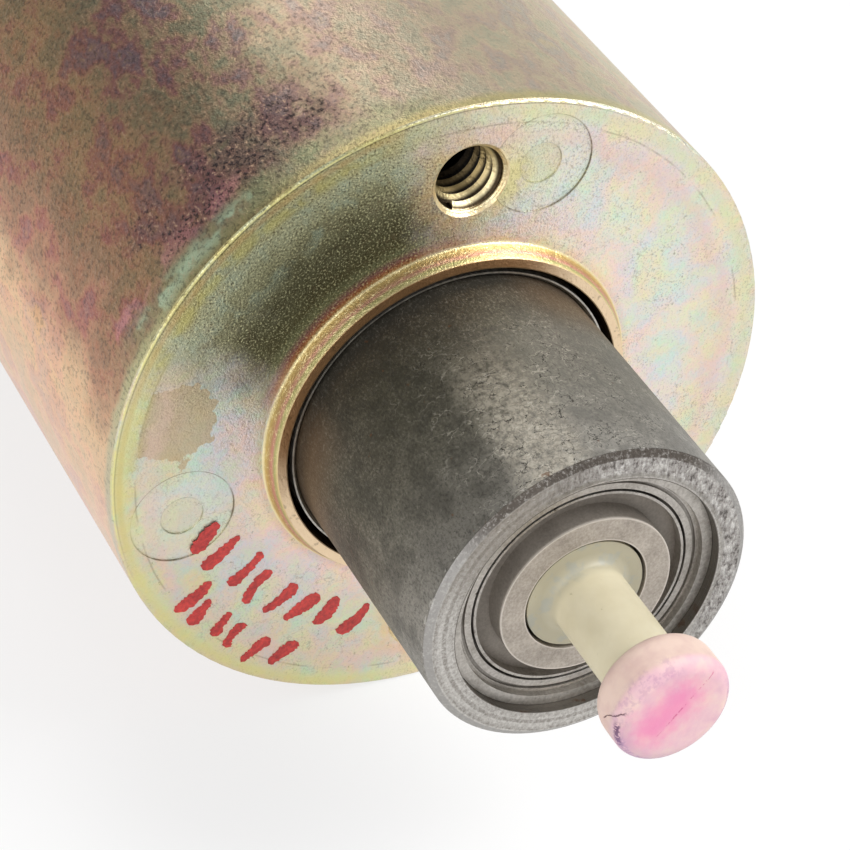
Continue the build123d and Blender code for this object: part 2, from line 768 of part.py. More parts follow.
# Leads from the windings to the terminals, straight through the closing plate
for name, angle, lead_end in (
    ("switch_lead", 90, small_head_front),
    ("earth_lead", 270, small_head_front),
    ("motor_lead", 180, contact_face),
):
    with BuildPart() as lead:
        with BuildSketch(Plane.YZ.offset(lead_end)):
            with PolarLocations(wire_exit_radius, 1, start_angle=angle):
                Circle(lead_radius)
        extrude(amount=winding_back - lead_end)
    finish(lead.part, name)
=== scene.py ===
import math
import random

import bmesh
import bpy
from mathutils import Matrix, Vector


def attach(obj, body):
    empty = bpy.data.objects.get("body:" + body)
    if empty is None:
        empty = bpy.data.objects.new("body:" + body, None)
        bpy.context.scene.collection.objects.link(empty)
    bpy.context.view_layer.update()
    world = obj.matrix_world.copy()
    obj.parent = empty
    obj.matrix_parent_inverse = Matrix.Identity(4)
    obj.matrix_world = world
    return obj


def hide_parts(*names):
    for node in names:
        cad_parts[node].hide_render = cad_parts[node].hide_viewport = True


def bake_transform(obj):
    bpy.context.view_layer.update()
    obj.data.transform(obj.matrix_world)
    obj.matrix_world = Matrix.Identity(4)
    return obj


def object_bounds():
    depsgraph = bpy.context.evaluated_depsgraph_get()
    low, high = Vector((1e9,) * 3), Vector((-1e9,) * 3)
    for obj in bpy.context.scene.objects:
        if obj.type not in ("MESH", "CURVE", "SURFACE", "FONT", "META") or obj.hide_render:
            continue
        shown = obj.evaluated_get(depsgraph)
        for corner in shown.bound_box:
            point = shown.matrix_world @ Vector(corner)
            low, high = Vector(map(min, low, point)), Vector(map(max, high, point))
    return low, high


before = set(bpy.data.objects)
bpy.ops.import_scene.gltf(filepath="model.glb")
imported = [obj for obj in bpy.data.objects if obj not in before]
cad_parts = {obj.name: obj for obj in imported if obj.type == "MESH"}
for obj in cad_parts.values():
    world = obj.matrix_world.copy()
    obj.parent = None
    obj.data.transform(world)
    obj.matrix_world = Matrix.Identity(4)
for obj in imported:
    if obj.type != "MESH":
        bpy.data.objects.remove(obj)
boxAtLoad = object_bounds()
print("solenoid frame loaded:", len(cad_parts), "nodes")

mm = 0.001

cameraSettings = {
    "place": (0.2310746, -0.1330242, 0.2025872),
    "right": (0.43222362, 0.89776439, 0.08486372),
    "up": (-0.58036497, 0.20491089, 0.78815482),
    "back": (0.69018783, -0.38991106, 0.60959833),
    "focalLength": 126.6,
    "sensorWidth": 36.0,
}

studio = {
    "floorDrop": 0.1 * mm,       # below the housing
    "floorReach": 3.0,
    "floorColour": (0.86, 0.86, 0.86),
    "floorGlow": 0.72,
    "worldColour": (0.80, 0.81, 0.83),
    "worldStrength": 0.55,
    "aim": (0.01, 0.0, 0.0),
}

lamps = {
    "keyBox": {"place": (0.30, 0.62, 0.75), "size": 0.60, "power": 10.0},
    "rearBox": {"place": (-0.74, -0.05, 0.77), "size": 0.30, "power": 1.6},
    "fillBox": {"place": (0.45, -0.75, 0.35), "size": 0.80, "power": 5.0},
}


def aimAt(place, target):
    return (Vector(target) - Vector(place)).to_track_quat("-Z", "Y").to_matrix().to_4x4()


def addObject(name, data):
    made = bpy.data.objects.new(name, data)
    bpy.context.scene.collection.objects.link(made)
    return made


def makeCamera():
    lens = bpy.data.cameras.new("photoCamera")
    lens.sensor_width = cameraSettings["sensorWidth"]
    lens.lens = cameraSettings["focalLength"]
    lens.clip_start = 0.01
    camera = addObject("photoCamera", lens)
    axes = [Vector(cameraSettings[name]) for name in ("right", "up", "back")]
    turn = Matrix(axes).transposed().to_4x4()
    camera.matrix_world = Matrix.Translation(cameraSettings["place"]) @ turn
    bpy.context.scene.camera = camera


def makeLamps():
    for name, lamp in lamps.items():
        light = bpy.data.lights.new(name, "AREA")
        light.shape = "SQUARE"
        light.size = lamp["size"]
        light.energy = lamp["power"]
        box = addObject(name, light)
        box.matrix_world = Matrix.Translation(lamp["place"]) @ aimAt(lamp["place"], studio["aim"])


def makeWorld():
    world = bpy.data.worlds.new("paleStudio")
    world.use_nodes = True
    tree = world.node_tree
    air = tree.nodes["Background"]
    air.inputs["Color"].default_value = (*studio["worldColour"], 1.0)
    air.inputs["Strength"].default_value = studio["worldStrength"]
    # beyond the floor's edge the camera sees plain white
    rays = tree.nodes.new("ShaderNodeLightPath")
    white = tree.nodes.new("ShaderNodeBackground")
    white.inputs["Color"].default_value = (1.0, 1.0, 1.0, 1.0)
    choice = tree.nodes.new("ShaderNodeMixShader")
    for place, output in enumerate((rays.outputs["Is Camera Ray"], air.outputs[0], white.outputs[0])):
        tree.links.new(output, choice.inputs[place])
    tree.links.new(choice.outputs[0], tree.nodes["World Output"].inputs["Surface"])
    bpy.context.scene.world = world
    bpy.context.scene.view_settings.view_transform = "Standard"


def makeFloor():
    low = boxAtLoad[0][2] - studio["floorDrop"]
    reach = studio["floorReach"]
    corners = [(-reach, -reach, low), (reach, -reach, low), (reach, reach, low), (-reach, reach, low)]
    mesh = bpy.data.meshes.new("floor")
    mesh.from_pydata(corners, [], [(0, 1, 2, 3)])
    floor = addObject("floor", mesh)
    material = bpy.data.materials.new("paleFloor")
    material.use_nodes = True
    tree = material.node_tree
    shader = tree.nodes["Principled BSDF"]
    shader.inputs["Base Color"].default_value = (*studio["floorColour"], 1.0)
    shader.inputs["Roughness"].default_value = 0.9
    shader.inputs["Specular IOR Level"].default_value = 0.1
    # seen straight on, in metal or through glass, the floor is nearly white and keeps a soft shadow
    rays = tree.nodes.new("ShaderNodeLightPath").outputs
    seen = rays["Is Camera Ray"]
    for kind in ("Is Glossy Ray", "Is Transmission Ray"):
        either = tree.nodes.new("ShaderNodeMath")
        either.operation = "MAXIMUM"
        tree.links.new(seen, either.inputs[0])
        tree.links.new(rays[kind], either.inputs[1])
        seen = either.outputs[0]
    share = tree.nodes.new("ShaderNodeMath")
    share.operation = "MULTIPLY"
    share.inputs[1].default_value = studio["floorGlow"]
    glow = tree.nodes.new("ShaderNodeEmission")
    blend = tree.nodes.new("ShaderNodeMixShader")
    tree.links.new(seen, share.inputs[0])
    for place, output in enumerate((share.outputs[0], shader.outputs[0], glow.outputs[0])):
        tree.links.new(output, blend.inputs[place])
    tree.links.new(blend.outputs[0], tree.nodes["Material Output"].inputs["Surface"])
    mesh.materials.append(material)


makeCamera()
makeWorld()
makeLamps()
makeFloor()
print("camera, lamps and floor placed")


def linear(red, green, blue):
    # turns 0..255 screen values into the shader's linear ones
    def one(value):
        value = value / 255.0
        return value / 12.92 if value <= 0.04045 else ((value + 0.055) / 1.055) ** 2.4
    return (one(red), one(green), one(blue), 1.0)


class Wiring:
    # short calls that add nodes to a node tree
    def feed(self, socket, value):
        if isinstance(value, bpy.types.NodeSocket):
            self.tree.links.new(value, socket)
        else:
            socket.default_value = value

    def fill(self, sockets, inputs):
        for name, value in inputs.items():
            self.feed(sockets[name.replace("_", " ")], value)

    def node(self, kind, output=0, settings=None, **inputs):
        made = self.tree.nodes.new(kind)
        for name, value in (settings or {}).items():
            setattr(made, name, value)
        self.fill(made.inputs, inputs)
        return made.outputs[output]

    def calc(self, operation, first, second=0.0, clamp=False):
        made = self.node("ShaderNodeMath", settings={"operation": operation, "use_clamp": clamp})
        self.feed(made.node.inputs[0], first)
        self.feed(made.node.inputs[1], second)
        return made

    def plus(self, first, second):
        return self.calc("ADD", first, second)

    def minus(self, first, second):
        return self.calc("SUBTRACT", first, second)

    def all(self, *values):
        # the product, so that a place counts only where every pattern does
        product = values[0]
        for value in values[1:]:
            product = self.calc("MULTIPLY", product, value)
        return product

    def hypot(self, first, second):
        return self.calc("SQRT", self.plus(self.all(first, first), self.all(second, second)))


class Finish(Wiring):
    # a material whose pattern is worked out in millimetres from the solenoid's own axes
    def __init__(self, name, metallic, roughness):
        self.material = bpy.data.materials.new(name)
        self.material.use_nodes = True
        self.tree = self.material.node_tree
        self.shader = self.tree.nodes["Principled BSDF"].inputs
        self.fill(self.shader, {"Metallic": metallic, "Roughness": roughness})
        self.place = self.vector("MULTIPLY", self.node("ShaderNodeTexCoord", "Object"), (1000, 1000, 1000))
        self.x, self.y, self.z = self.node("ShaderNodeSeparateXYZ", Vector=self.place).node.outputs
        self.reach = self.hypot(self.y, self.z)

    def vector(self, operation, vector, amounts):
        made = self.node("ShaderNodeVectorMath", settings={"operation": operation})
        self.feed(made.node.inputs[0], vector)
        self.feed(made.node.inputs[1], amounts)
        return made

    def centred(self, value, amount):
        # turns a 0..1 pattern into one that swings about nought, by half the amount each way
        return self.all(self.minus(value, 0.5), amount)

    def noise(self, size, detail=4, rough=0.55, stretch=(1, 1, 1), shift=(0, 0, 0)):
        # size is the width of one blotch in millimetres
        moved = self.vector("ADD", self.vector("MULTIPLY", self.place, stretch), shift)
        return self.node("ShaderNodeTexNoise", Scale=1 / size, Detail=detail, Roughness=rough, Vector=moved)

    def sway(self, amount, *pattern, **placing):
        return self.centred(self.noise(*pattern, **placing), amount)

    def wiggles(self, size, width, **placing):
        # thin crooked lines, where a pattern crosses its middle value
        pattern = self.noise(size, 3, 0.55, **placing)
        return self.between(self.calc("ABSOLUTE", self.minus(pattern, 0.5)), width, width * 0.3)

    def rings(self, size):
        # turning marks round the axis, as a 0..1 pattern
        away = self.plus(self.reach, self.sway(0.5, 8, 1))
        return self.node("ShaderNodeTexNoise", settings={"noise_dimensions": "1D"}, Scale=1 / size, Detail=4,
                W=away)

    def between(self, value, start, end, low=0, high=1):
        # smoothly from low at start to high at end
        return self.node("ShaderNodeMapRange", settings={"interpolation_type": "SMOOTHSTEP"}, Value=value,
                From_Min=start, From_Max=end, To_Min=low, To_Max=high)

    def blots(self, start, end, *pattern, low=0, high=1, **placing):
        # irregular patches, where a noise passes from start to end
        return self.between(self.noise(*pattern, **placing), start, end, low, high)

    def band(self, value, centre, width, soft):
        # 1 inside a band round centre, 0 outside
        away = self.calc("ABSOLUTE", self.minus(value, centre))
        return self.between(away, width / 2 + soft, max(width / 2 - soft, 0))

    def towards(self, degrees):
        # how much a point lies towards that side of the axis, 0 degrees at +Y and 90 at +Z
        turn = math.radians(degrees)
        side = self.plus(self.all(self.y, math.cos(turn)), self.all(self.z, math.sin(turn)))
        return self.calc("DIVIDE", side, self.calc("MAXIMUM", self.reach, 0.001))

    def sector(self, degrees, half, soft, waver=0):
        # 1 within half degrees of that side of the axis
        facing = self.plus(self.towards(degrees), waver)
        outer, inner = math.cos(math.radians(half + soft)), math.cos(math.radians(half - soft))
        return self.between(facing, outer, inner)

    def turnFromTop(self):
        # degrees round the axis, 0 at the top and rising towards -Y
        return self.all(self.calc("ARCTAN2", self.all(self.y, -1), self.z), 180 / math.pi)

    def farFrom(self, y, z, mirrored=False):
        # distance in millimetres from a line along X, or from it and its twin below
        above = self.minus(self.calc("ABSOLUTE", self.z) if mirrored else self.z, z)
        return self.hypot(self.minus(self.y, y), above)

    def alongLine(self, start, end, halfWidth, soft, pattern, waver):
        # 1 within halfWidth of a straight line on a face that looks along X
        dy, dz = end[0] - start[0], end[1] - start[1]
        length = math.hypot(dy, dz)
        fromY, fromZ = self.minus(self.y, start[0]), self.minus(self.z, start[1])
        ahead = self.plus(self.all(fromY, dy / length), self.all(fromZ, dz / length))
        aside = self.plus(self.all(fromY, -dz / length), self.all(fromZ, dy / length))
        over = self.calc("MAXIMUM", self.minus(ahead, length), self.all(ahead, -1))
        away = self.hypot(aside, self.calc("MAXIMUM", over, 0))
        away = self.plus(away, self.centred(pattern, waver))
        return self.between(away, halfWidth + soft, max(halfWidth - soft, 0))

    def ramp(self, value, stops, low=0, high=1):
        node = self.tree.nodes.new("ShaderNodeValToRGB")
        bar = node.color_ramp
        while len(bar.elements) < len(stops):
            bar.elements.new(0.5)
        for element, (place, colour) in zip(bar.elements, stops):
            element.position = (place - low) / (high - low)
            element.color = linear(*colour)
        if (low, high) != (0, 1):
            value = self.calc("DIVIDE", self.minus(value, low), high - low)
        self.feed(node.inputs[0], value)
        return node.outputs["Color"]

    def mix(self, amount, low, high):
        # this node's sockets share their names, so they go by place
        node = self.tree.nodes.new("ShaderNodeMix")
        node.data_type = "RGBA"
        for place, value in ((0, amount), (6, low), (7, high)):
            self.feed(node.inputs[place], value)
        return node.outputs[2]

    def tinted(self, base, *layers):
        # each layer is a screen colour and the shares that say where it lies over the ones before
        for colour, *shares in layers:
            base = self.mix(self.all(*shares), base, linear(*colour))
        return base

    def without(self, value):
        return self.calc("SUBTRACT", 1, value, clamp=True)

    def coat(self, **inputs):
        self.fill(self.shader, inputs)

    def relief(self, *layers):
        # layers are (height, millimetres), added one on another
        below = {}
        for height, deep in layers:
            below = {"Normal": self.node("ShaderNodeBump", Distance=deep * mm, Height=height, **below)}
        self.coat(**below)


faceLook = {
    "rimRadius": 40,
    "footRadius": 22.3,
    "collarBoreRadius": 20.3,
    "collarHeight": 2.1,
    "turnedLine": 37.2,
    "holeHeight": 30.6,          # of each tapped hole above or below the axis
    "holeRadius": 4.05,
    "mouthDepth": 0.6,           # of each hole's countersink
    "markPlaces": ((8.33, 31.10), (-31.50, -6.69)),
    "markRadius": 6.1,
    "markPointRadius": 2.5,
    "stainPlace": (-33.6, 6.4),
    "stainRadius": 5,
    # colours by the distance from the axis, painted as lit: where the face is bright, a dimmer, yellower copy
    # to its left, and where it is dark, a painted reflection of the dark plunger
    "bright": [
        (22.3, (236, 204, 162)), (23.4, (244, 230, 210)), (25, (240, 226, 216)), (27, (226, 232, 220)),
        (29.5, (222, 232, 220)), (32, (228, 226, 203)), (34.5, (221, 212, 192)), (36.2, (224, 212, 200)),
        (37.6, (222, 222, 192)), (39, (226, 218, 184)),
    ],
    "left": [
        (22.3, (206, 172, 142)), (23.4, (234, 208, 190)), (25, (222, 208, 194)), (27.5, (202, 200, 188)),
        (30, (196, 206, 186)), (33, (196, 196, 168)), (35.5, (194, 190, 164)), (37.4, (196, 192, 148)),
        (39.4, (200, 192, 140)),
    ],
    "dark": [
        (22.3, (186, 156, 104)), (22.8, (176, 116, 84)), (23.4, (148, 108, 104)), (24.2, (130, 134, 100)),
        (25.6, (102, 99, 70)), (29, (104, 102, 76)), (31.5, (126, 124, 94)), (34, (156, 155, 122)),
        (36, (176, 178, 146)), (38, (170, 164, 126)), (39.4, (186, 174, 118)),
    ],
    "filmTints": [
        (0.30, (186, 236, 218)), (0.40, (240, 232, 176)), (0.48, (248, 206, 200)), (0.55, (214, 212, 232)),
        (0.63, (190, 234, 208)), (0.72, (244, 226, 148)),
    ],
    # colours up the collar's cone, pale at its foot and top edge as painted highlights, and along the crests
    # and roots of the holes' threads, with painted shade that deepens to black with depth and fills the roots
    "cone": [
        (0, (244, 230, 186)), (0.35, (216, 190, 120)), (0.8, (196, 160, 110)), (1.2, (216, 152, 140)),
        (1.6, (188, 190, 126)), (1.95, (240, 222, 166)), (2.1, (250, 238, 196)),
    ],
    "holeDepth": 12,
    "crestsFadingToShade": [
        (-12, (16, 14, 12)), (-7.4, (30, 26, 22)), (-6.2, (104, 88, 62)), (-4, (190, 168, 118)),
        (-2, (232, 214, 166)), (0, (250, 236, 196)),
    ],
    "rootsInShade": [(-12, (8, 8, 8)), (-5, (20, 17, 14)), (-1, (60, 48, 32)), (0, (96, 78, 52))],
}

sideLook = {
    # colours by the turn from the top of the casing, rising towards -Y, painted as lit and shaded: bright
    # where the light falls and dark where the casing turns away
    "turned": [
        (-180, (206, 172, 140)), (-130, (222, 198, 158)), (-80, (218, 202, 168)), (-20, (222, 214, 184)),
        (5, (216, 202, 178)), (17, (180, 166, 142)), (27, (120, 118, 98)), (36, (102, 88, 72)),
        (43, (118, 94, 72)), (52, (146, 112, 76)), (64, (144, 100, 74)), (74, (184, 128, 104)),
        (84, (255, 212, 168)), (96, (255, 218, 184)), (115, (255, 226, 208)), (140, (238, 200, 174)),
        (180, (206, 172, 140)),
    ],
    "nearRim": [
        (-180, (198, 186, 130)), (-20, (212, 202, 150)), (10, (204, 186, 130)), (22, (184, 168, 120)),
        (36, (140, 126, 84)), (50, (150, 138, 92)), (66, (190, 184, 138)), (86, (200, 190, 156)),
        (110, (214, 204, 184)), (180, (198, 186, 130)),
    ],
    "patches": [
        (0.30, (196, 146, 110)), (0.42, (140, 146, 112)), (0.50, (206, 168, 128)), (0.57, (176, 96, 108)),
        (0.64, (132, 104, 136)), (0.74, (206, 160, 96)),
    ],
}


def plateZinc():
    look = faceLook
    zinc = Finish("yellowChromateZinc", 0.82, 0.36)
    x, reach = zinc.x, zinc.reach
    between, band, sector, blots = zinc.between, zinc.band, zinc.sector, zinc.blots
    foot, rim, bore, hole, stain, mark = (look[name + "Radius"] for name in (
            "foot", "rim", "collarBore", "hole", "stain", "mark"))
    line, mouth, brim = look["turnedLine"], -look["mouthDepth"], look["collarHeight"]
    wander = zinc.sway(5.5, 5, 4, 0.6)
    drift = zinc.plus(reach, zinc.all(wander, between(reach, foot + 2.7, foot + 5.7)))
    bright, left, dark = (zinc.ramp(drift, look[name], foot, rim) for name in ("bright", "left", "dark"))
    # thin-film tints that wander over the face
    tint = zinc.ramp(zinc.noise(8, 2, 0.5, shift=(3, 11, 5)), look["filmTints"])
    small = zinc.ramp(zinc.noise(2.2, 5, 0.7, shift=(8, 1, 2)), look["filmTints"])
    waver = zinc.sway(0.20, 5, 3, shift=(2, 6, 1))
    # painted light: the left sector takes the dimmer copy, and the dark sector takes the painted reflection
    # of the plunger
    onLeft = sector(212, 54, 12, waver)
    onPaintedReflection = sector(127, 29, 13, waver)
    offPaintedReflection = zinc.without(onPaintedReflection)
    dark = zinc.tinted(dark,
        ((66, 56, 38), blots(0.50, 0.62, 3.4, 5, 0.68, shift=(1, 8, 4)),
            band(reach, foot + 7.2, 7, 2.5), 0.35),
        ((166, 184, 166), blots(0.46, 0.60, 4.2, 3, 0.5, shift=(6, 2, 2)),
            between(reach, foot + 7.7, foot + 10.7), 0.45))
    face = zinc.mix(0.34, zinc.mix(onLeft, bright, left), tint)
    face = zinc.mix(onPaintedReflection, zinc.mix(0.22, face, small), dark)
    # a stain with a clear edge, a warm ring round each tapped hole and a yellow patch at its right
    stainFar = zinc.plus(zinc.farFrom(*look["stainPlace"]), zinc.sway(7, 3.2, 4, 0.6, shift=(1, 5, 9)))
    holeFar = zinc.farFrom(0, look["holeHeight"], mirrored=True)
    patchFar = zinc.farFrom(4.6, look["holeHeight"] - 0.8, mirrored=True)
    face = zinc.tinted(face,
        ((190, 168, 134), between(stainFar, stain + 0.35, stain),
            between(reach, line + 0.4, line - 0.2), 0.8),
        ((228, 188, 128), between(holeFar, 8.5, 4.5), blots(0.25, 0.6, 2.4, 3), 0.6),
        ((240, 222, 128), between(patchFar, 4.2, 1.2), blots(0.30, 0.50, 1.8, 4), 0.75))
    # clamp marks: paler, with a thin dark line of painted shade at each edge
    for place in look["markPlaces"]:
        far = zinc.farFrom(*place)
        broken = blots(0.35, 0.55, 3, 3, shift=(place[0], 0, 0), low=0.15, high=0.75)
        face = zinc.tinted(face,
            ((218, 234, 216), between(far, mark + 0.1, mark - 0.1), 0.25),
            ((120, 106, 84), band(far, mark, 0.10, 0.08), broken),
            ((150, 150, 132), band(far, look["markPointRadius"], 0.10, 0.10), broken, 0.6))
    # fine cast grain with dark pits and light grains, then what lies near the rim
    grain = zinc.noise(0.26, 2, 0.65)
    coarse = zinc.noise(0.55, 3, 0.65, shift=(4, 4, 1))
    upper = zinc.all(sector(88, 32, 16, waver), 0.8)
    sandy = zinc.calc("MAXIMUM", blots(0.40, 0.62, 6, 3, shift=(9, 3, 3)), upper)
    share = zinc.calc("ADD", zinc.all(onPaintedReflection, 0.45), zinc.plus(zinc.all(sandy, 0.28), 0.14), clamp=True)
    share = zinc.all(share, zinc.minus(1, zinc.all(onLeft, 0.5)))
    turned = band(zinc.plus(reach, zinc.sway(0.5, 9, 2)), line, 0.14, 0.12)
    arrisHighlight = band(zinc.plus(reach, zinc.sway(0.10, 3, 3)), rim - 0.22, 0.14, 0.08)
    face = zinc.tinted(face,
        ((70, 62, 40), between(grain, 0.54, 0.66), share),
        ((232, 228, 178), between(grain, 0.46, 0.34), share, zinc.without(zinc.all(onPaintedReflection, 0.15))),
        ((96, 84, 58), between(coarse, 0.64, 0.72), 0.5),
        ((140, 120, 92), zinc.wiggles(2.6, 0.012, shift=(1, 4, 8)), sandy, 0.30),
        ((128, 112, 86), turned, blots(0.42, 0.60, 5, 3, shift=(4, 2, 6)), 0.4),
        # faint pink band, green band, and a groove darkened with painted shade on one side
        ((230, 196, 184), band(drift, rim - 4.4, 1.2, 0.9), offPaintedReflection, 0.35),
        ((214, 220, 172), band(reach, rim - 1.4, 1.5, 0.7), offPaintedReflection, 0.40),
        ((96, 82, 44), band(reach, rim - 0.42, 0.10, 0.09), sector(130, 62, 14, waver), 0.55),
        # peach and yellow film
        ((196, 164, 112), band(reach, rim - 0.95, 0.7, 0.25), sector(150, 42, 14, waver), 0.5),
        ((206, 198, 116), band(reach, rim - 2.2, 1.2, 0.7), sector(150, 40, 14, waver),
            blots(0.36, 0.56, 2.6, 4), 0.5),
        ((220, 212, 134), band(reach, rim - 0.9, 1.3, 0.6), sector(214, 52, 16, waver), 0.5),
        # painted highlight along the arris, partly yellow
        ((206, 200, 156), arrisHighlight, 0.35),
        ((236, 228, 150), arrisHighlight, sector(138, 66, 20, waver),
            blots(0.36, 0.56, 2.2, 4, 0.6, low=0.15, high=0.7)))
    # casing side: brown and grey under a thin film, with painted light and shade round the casing
    turn = zinc.plus(zinc.turnFromTop(), zinc.sway(22, 7, 3, shift=(5, 2, 2)))
    side = zinc.ramp(turn, sideLook["turned"], -180, 180)
    patch = zinc.ramp(zinc.noise(4.5, 4, 0.6, (0.6, 1, 1), (7, 2, 1)), sideLook["patches"])
    side = zinc.mix(0.30, side, patch)
    # the yellow-olive band near the rim carries its own painted light and shade by the turn
    nearRim = between(zinc.plus(x, zinc.sway(1.6, 3)), -2.6, -0.9)
    side = zinc.mix(nearRim, side, zinc.ramp(turn, sideLook["nearRim"], -180, 180))
    # green film close behind the rim with an aqua and a pink fleck, then peening, heavier in one broad patch
    behind = zinc.plus(x, zinc.sway(4, 3.5, 4, 0.6, shift=(3, 1, 2)))
    along = zinc.plus(x, zinc.sway(1.6, 1.6, 3, shift=(3, 1, 2)))
    dents = zinc.noise(0.46, 3, 0.66, (0.8, 1, 1), (2, 9, 4))
    heavy = zinc.all(sector(127, 14, 8, waver), band(behind, -9.5, 9, 2.5),
            blots(0.32, 0.50, 4, 4, 0.6, shift=(5, 7, 1)))
    amount = zinc.plus(zinc.all(between(zinc.towards(136), 0.55, 0.92), 0.30), 0.12)
    amount = zinc.calc("ADD", amount, zinc.all(heavy, 0.55), clamp=True)
    side = zinc.tinted(side,
        ((150, 154, 114), band(behind, -3, 3.4, 1.4), sector(128, 32, 8, waver), 0.6),
        ((196, 224, 190), band(along, -2.6, 1.8, 1.5), sector(140, 6, 5, waver), 0.60),
        ((232, 160, 160), band(along, -6.2, 1.6, 1.6), sector(141, 6, 5, waver), 0.45),
        ((104, 72, 74), heavy, 0.60),
        ((44, 35, 36), between(dents, 0.52, 0.62), amount),
        ((214, 178, 146), between(dents, 0.44, 0.32), zinc.plus(0.26, zinc.all(heavy, 0.4))))
    onSide = between(x, -0.28, -0.34)
    whole = zinc.mix(onSide, face, side)
    # inside the tapped holes it turns brown, and painted shade turns it black with depth and darkens the
    # thread roots
    inHole = zinc.all(between(holeFar, hole + 0.62, hole + 0.5), between(x, -0.01, -0.06))
    crestsFadingToShade, rootsInShade = (zinc.ramp(x, look[name], -look["holeDepth"], 0) for name in ("crestsFadingToShade", "rootsInShade"))
    thread = zinc.mix(between(holeFar, hole - 0.19, hole - 0.55), rootsInShade, crestsFadingToShade)
    flare = zinc.ramp(zinc.noise(1.2, 3), [(0.35, (226, 200, 150)), (0.65, (242, 228, 188))])
    thread = zinc.mix(between(x, mouth - 0.18, mouth), thread, flare)
    whole = zinc.mix(inHole, whole, thread)
    # collar: thin-film bands up its cone with painted highlights at its foot and top edge, painted shade on
    # one side of the cone and of the brown top, and painted shade at the bore's edge
    height = zinc.plus(x, zinc.sway(0.25, 3, 2))
    cone = zinc.tinted(zinc.ramp(height, look["cone"], 0, brim),
        ((112, 98, 62), sector(126, 40, 16, waver), 0.55),
        ((246, 232, 178), zinc.wiggles(1.5, 0.018, shift=(2, 2, 0), stretch=(3, 1, 1)), 0.55))
    top = zinc.tinted(linear(240, 214, 178), ((160, 122, 84), sector(124, 62, 16, waver)),
        ((96, 72, 44), blots(0.56, 0.72, 0.8, 3, high=0.4)))
    collar = zinc.mix(between(x, brim - 0.10, brim - 0.03), cone, top)
    collar = zinc.tinted(collar, ((122, 100, 72), between(reach, bore + 0.16, bore + 0.05)))
    raised = zinc.calc("MAXIMUM", between(x, 0.01, 0.06), between(reach, bore + 0.3, bore + 0.2))
    onCollar = zinc.all(between(reach, foot + 0.45, foot + 0.2), raised)
    zinc.coat(Base_Color=zinc.mix(onCollar, whole, collar),
            Roughness=zinc.plus(zinc.all(zinc.noise(2.5, 4), 0.22), 0.27))
    hammered = zinc.all(dents, onSide, zinc.plus(0.6, heavy))
    zinc.relief((grain, 0.06), (coarse, 0.07), (hammered, 0.14), (zinc.noise(1.7, 4), 0.06))
    return zinc


plungerLook = {
    "radius": 18.9,
    "endFace": 34,
    "seatRadius": 15.5,
    "wallBack": -10,             # the mouth's look reaches back to here
    "chamfer": 0.8,              # across
    "chamferLength": 0.55,       # along
    # painted shade: colours by the place along the axis, darkened where it enters the sleeve and lighter
    # towards the end
    "along": [
        (0, (76, 70, 60)), (5, (88, 83, 72)), (10, (96, 92, 81)), (16, (102, 98, 87)),
        (22, (118, 114, 103)), (28, (132, 128, 119)), (33.4, (146, 142, 134)),
    ],
    # the end face's cast skin and its smoother side
    "castSkin": [
        (0.36, (106, 101, 97)), (0.45, (164, 159, 155)), (0.54, (184, 180, 176)), (0.64, (214, 211, 207)),
    ],
    "smoothSkin": [(0.38, (142, 137, 130)), (0.50, (182, 178, 172)), (0.62, (208, 205, 200))],
}


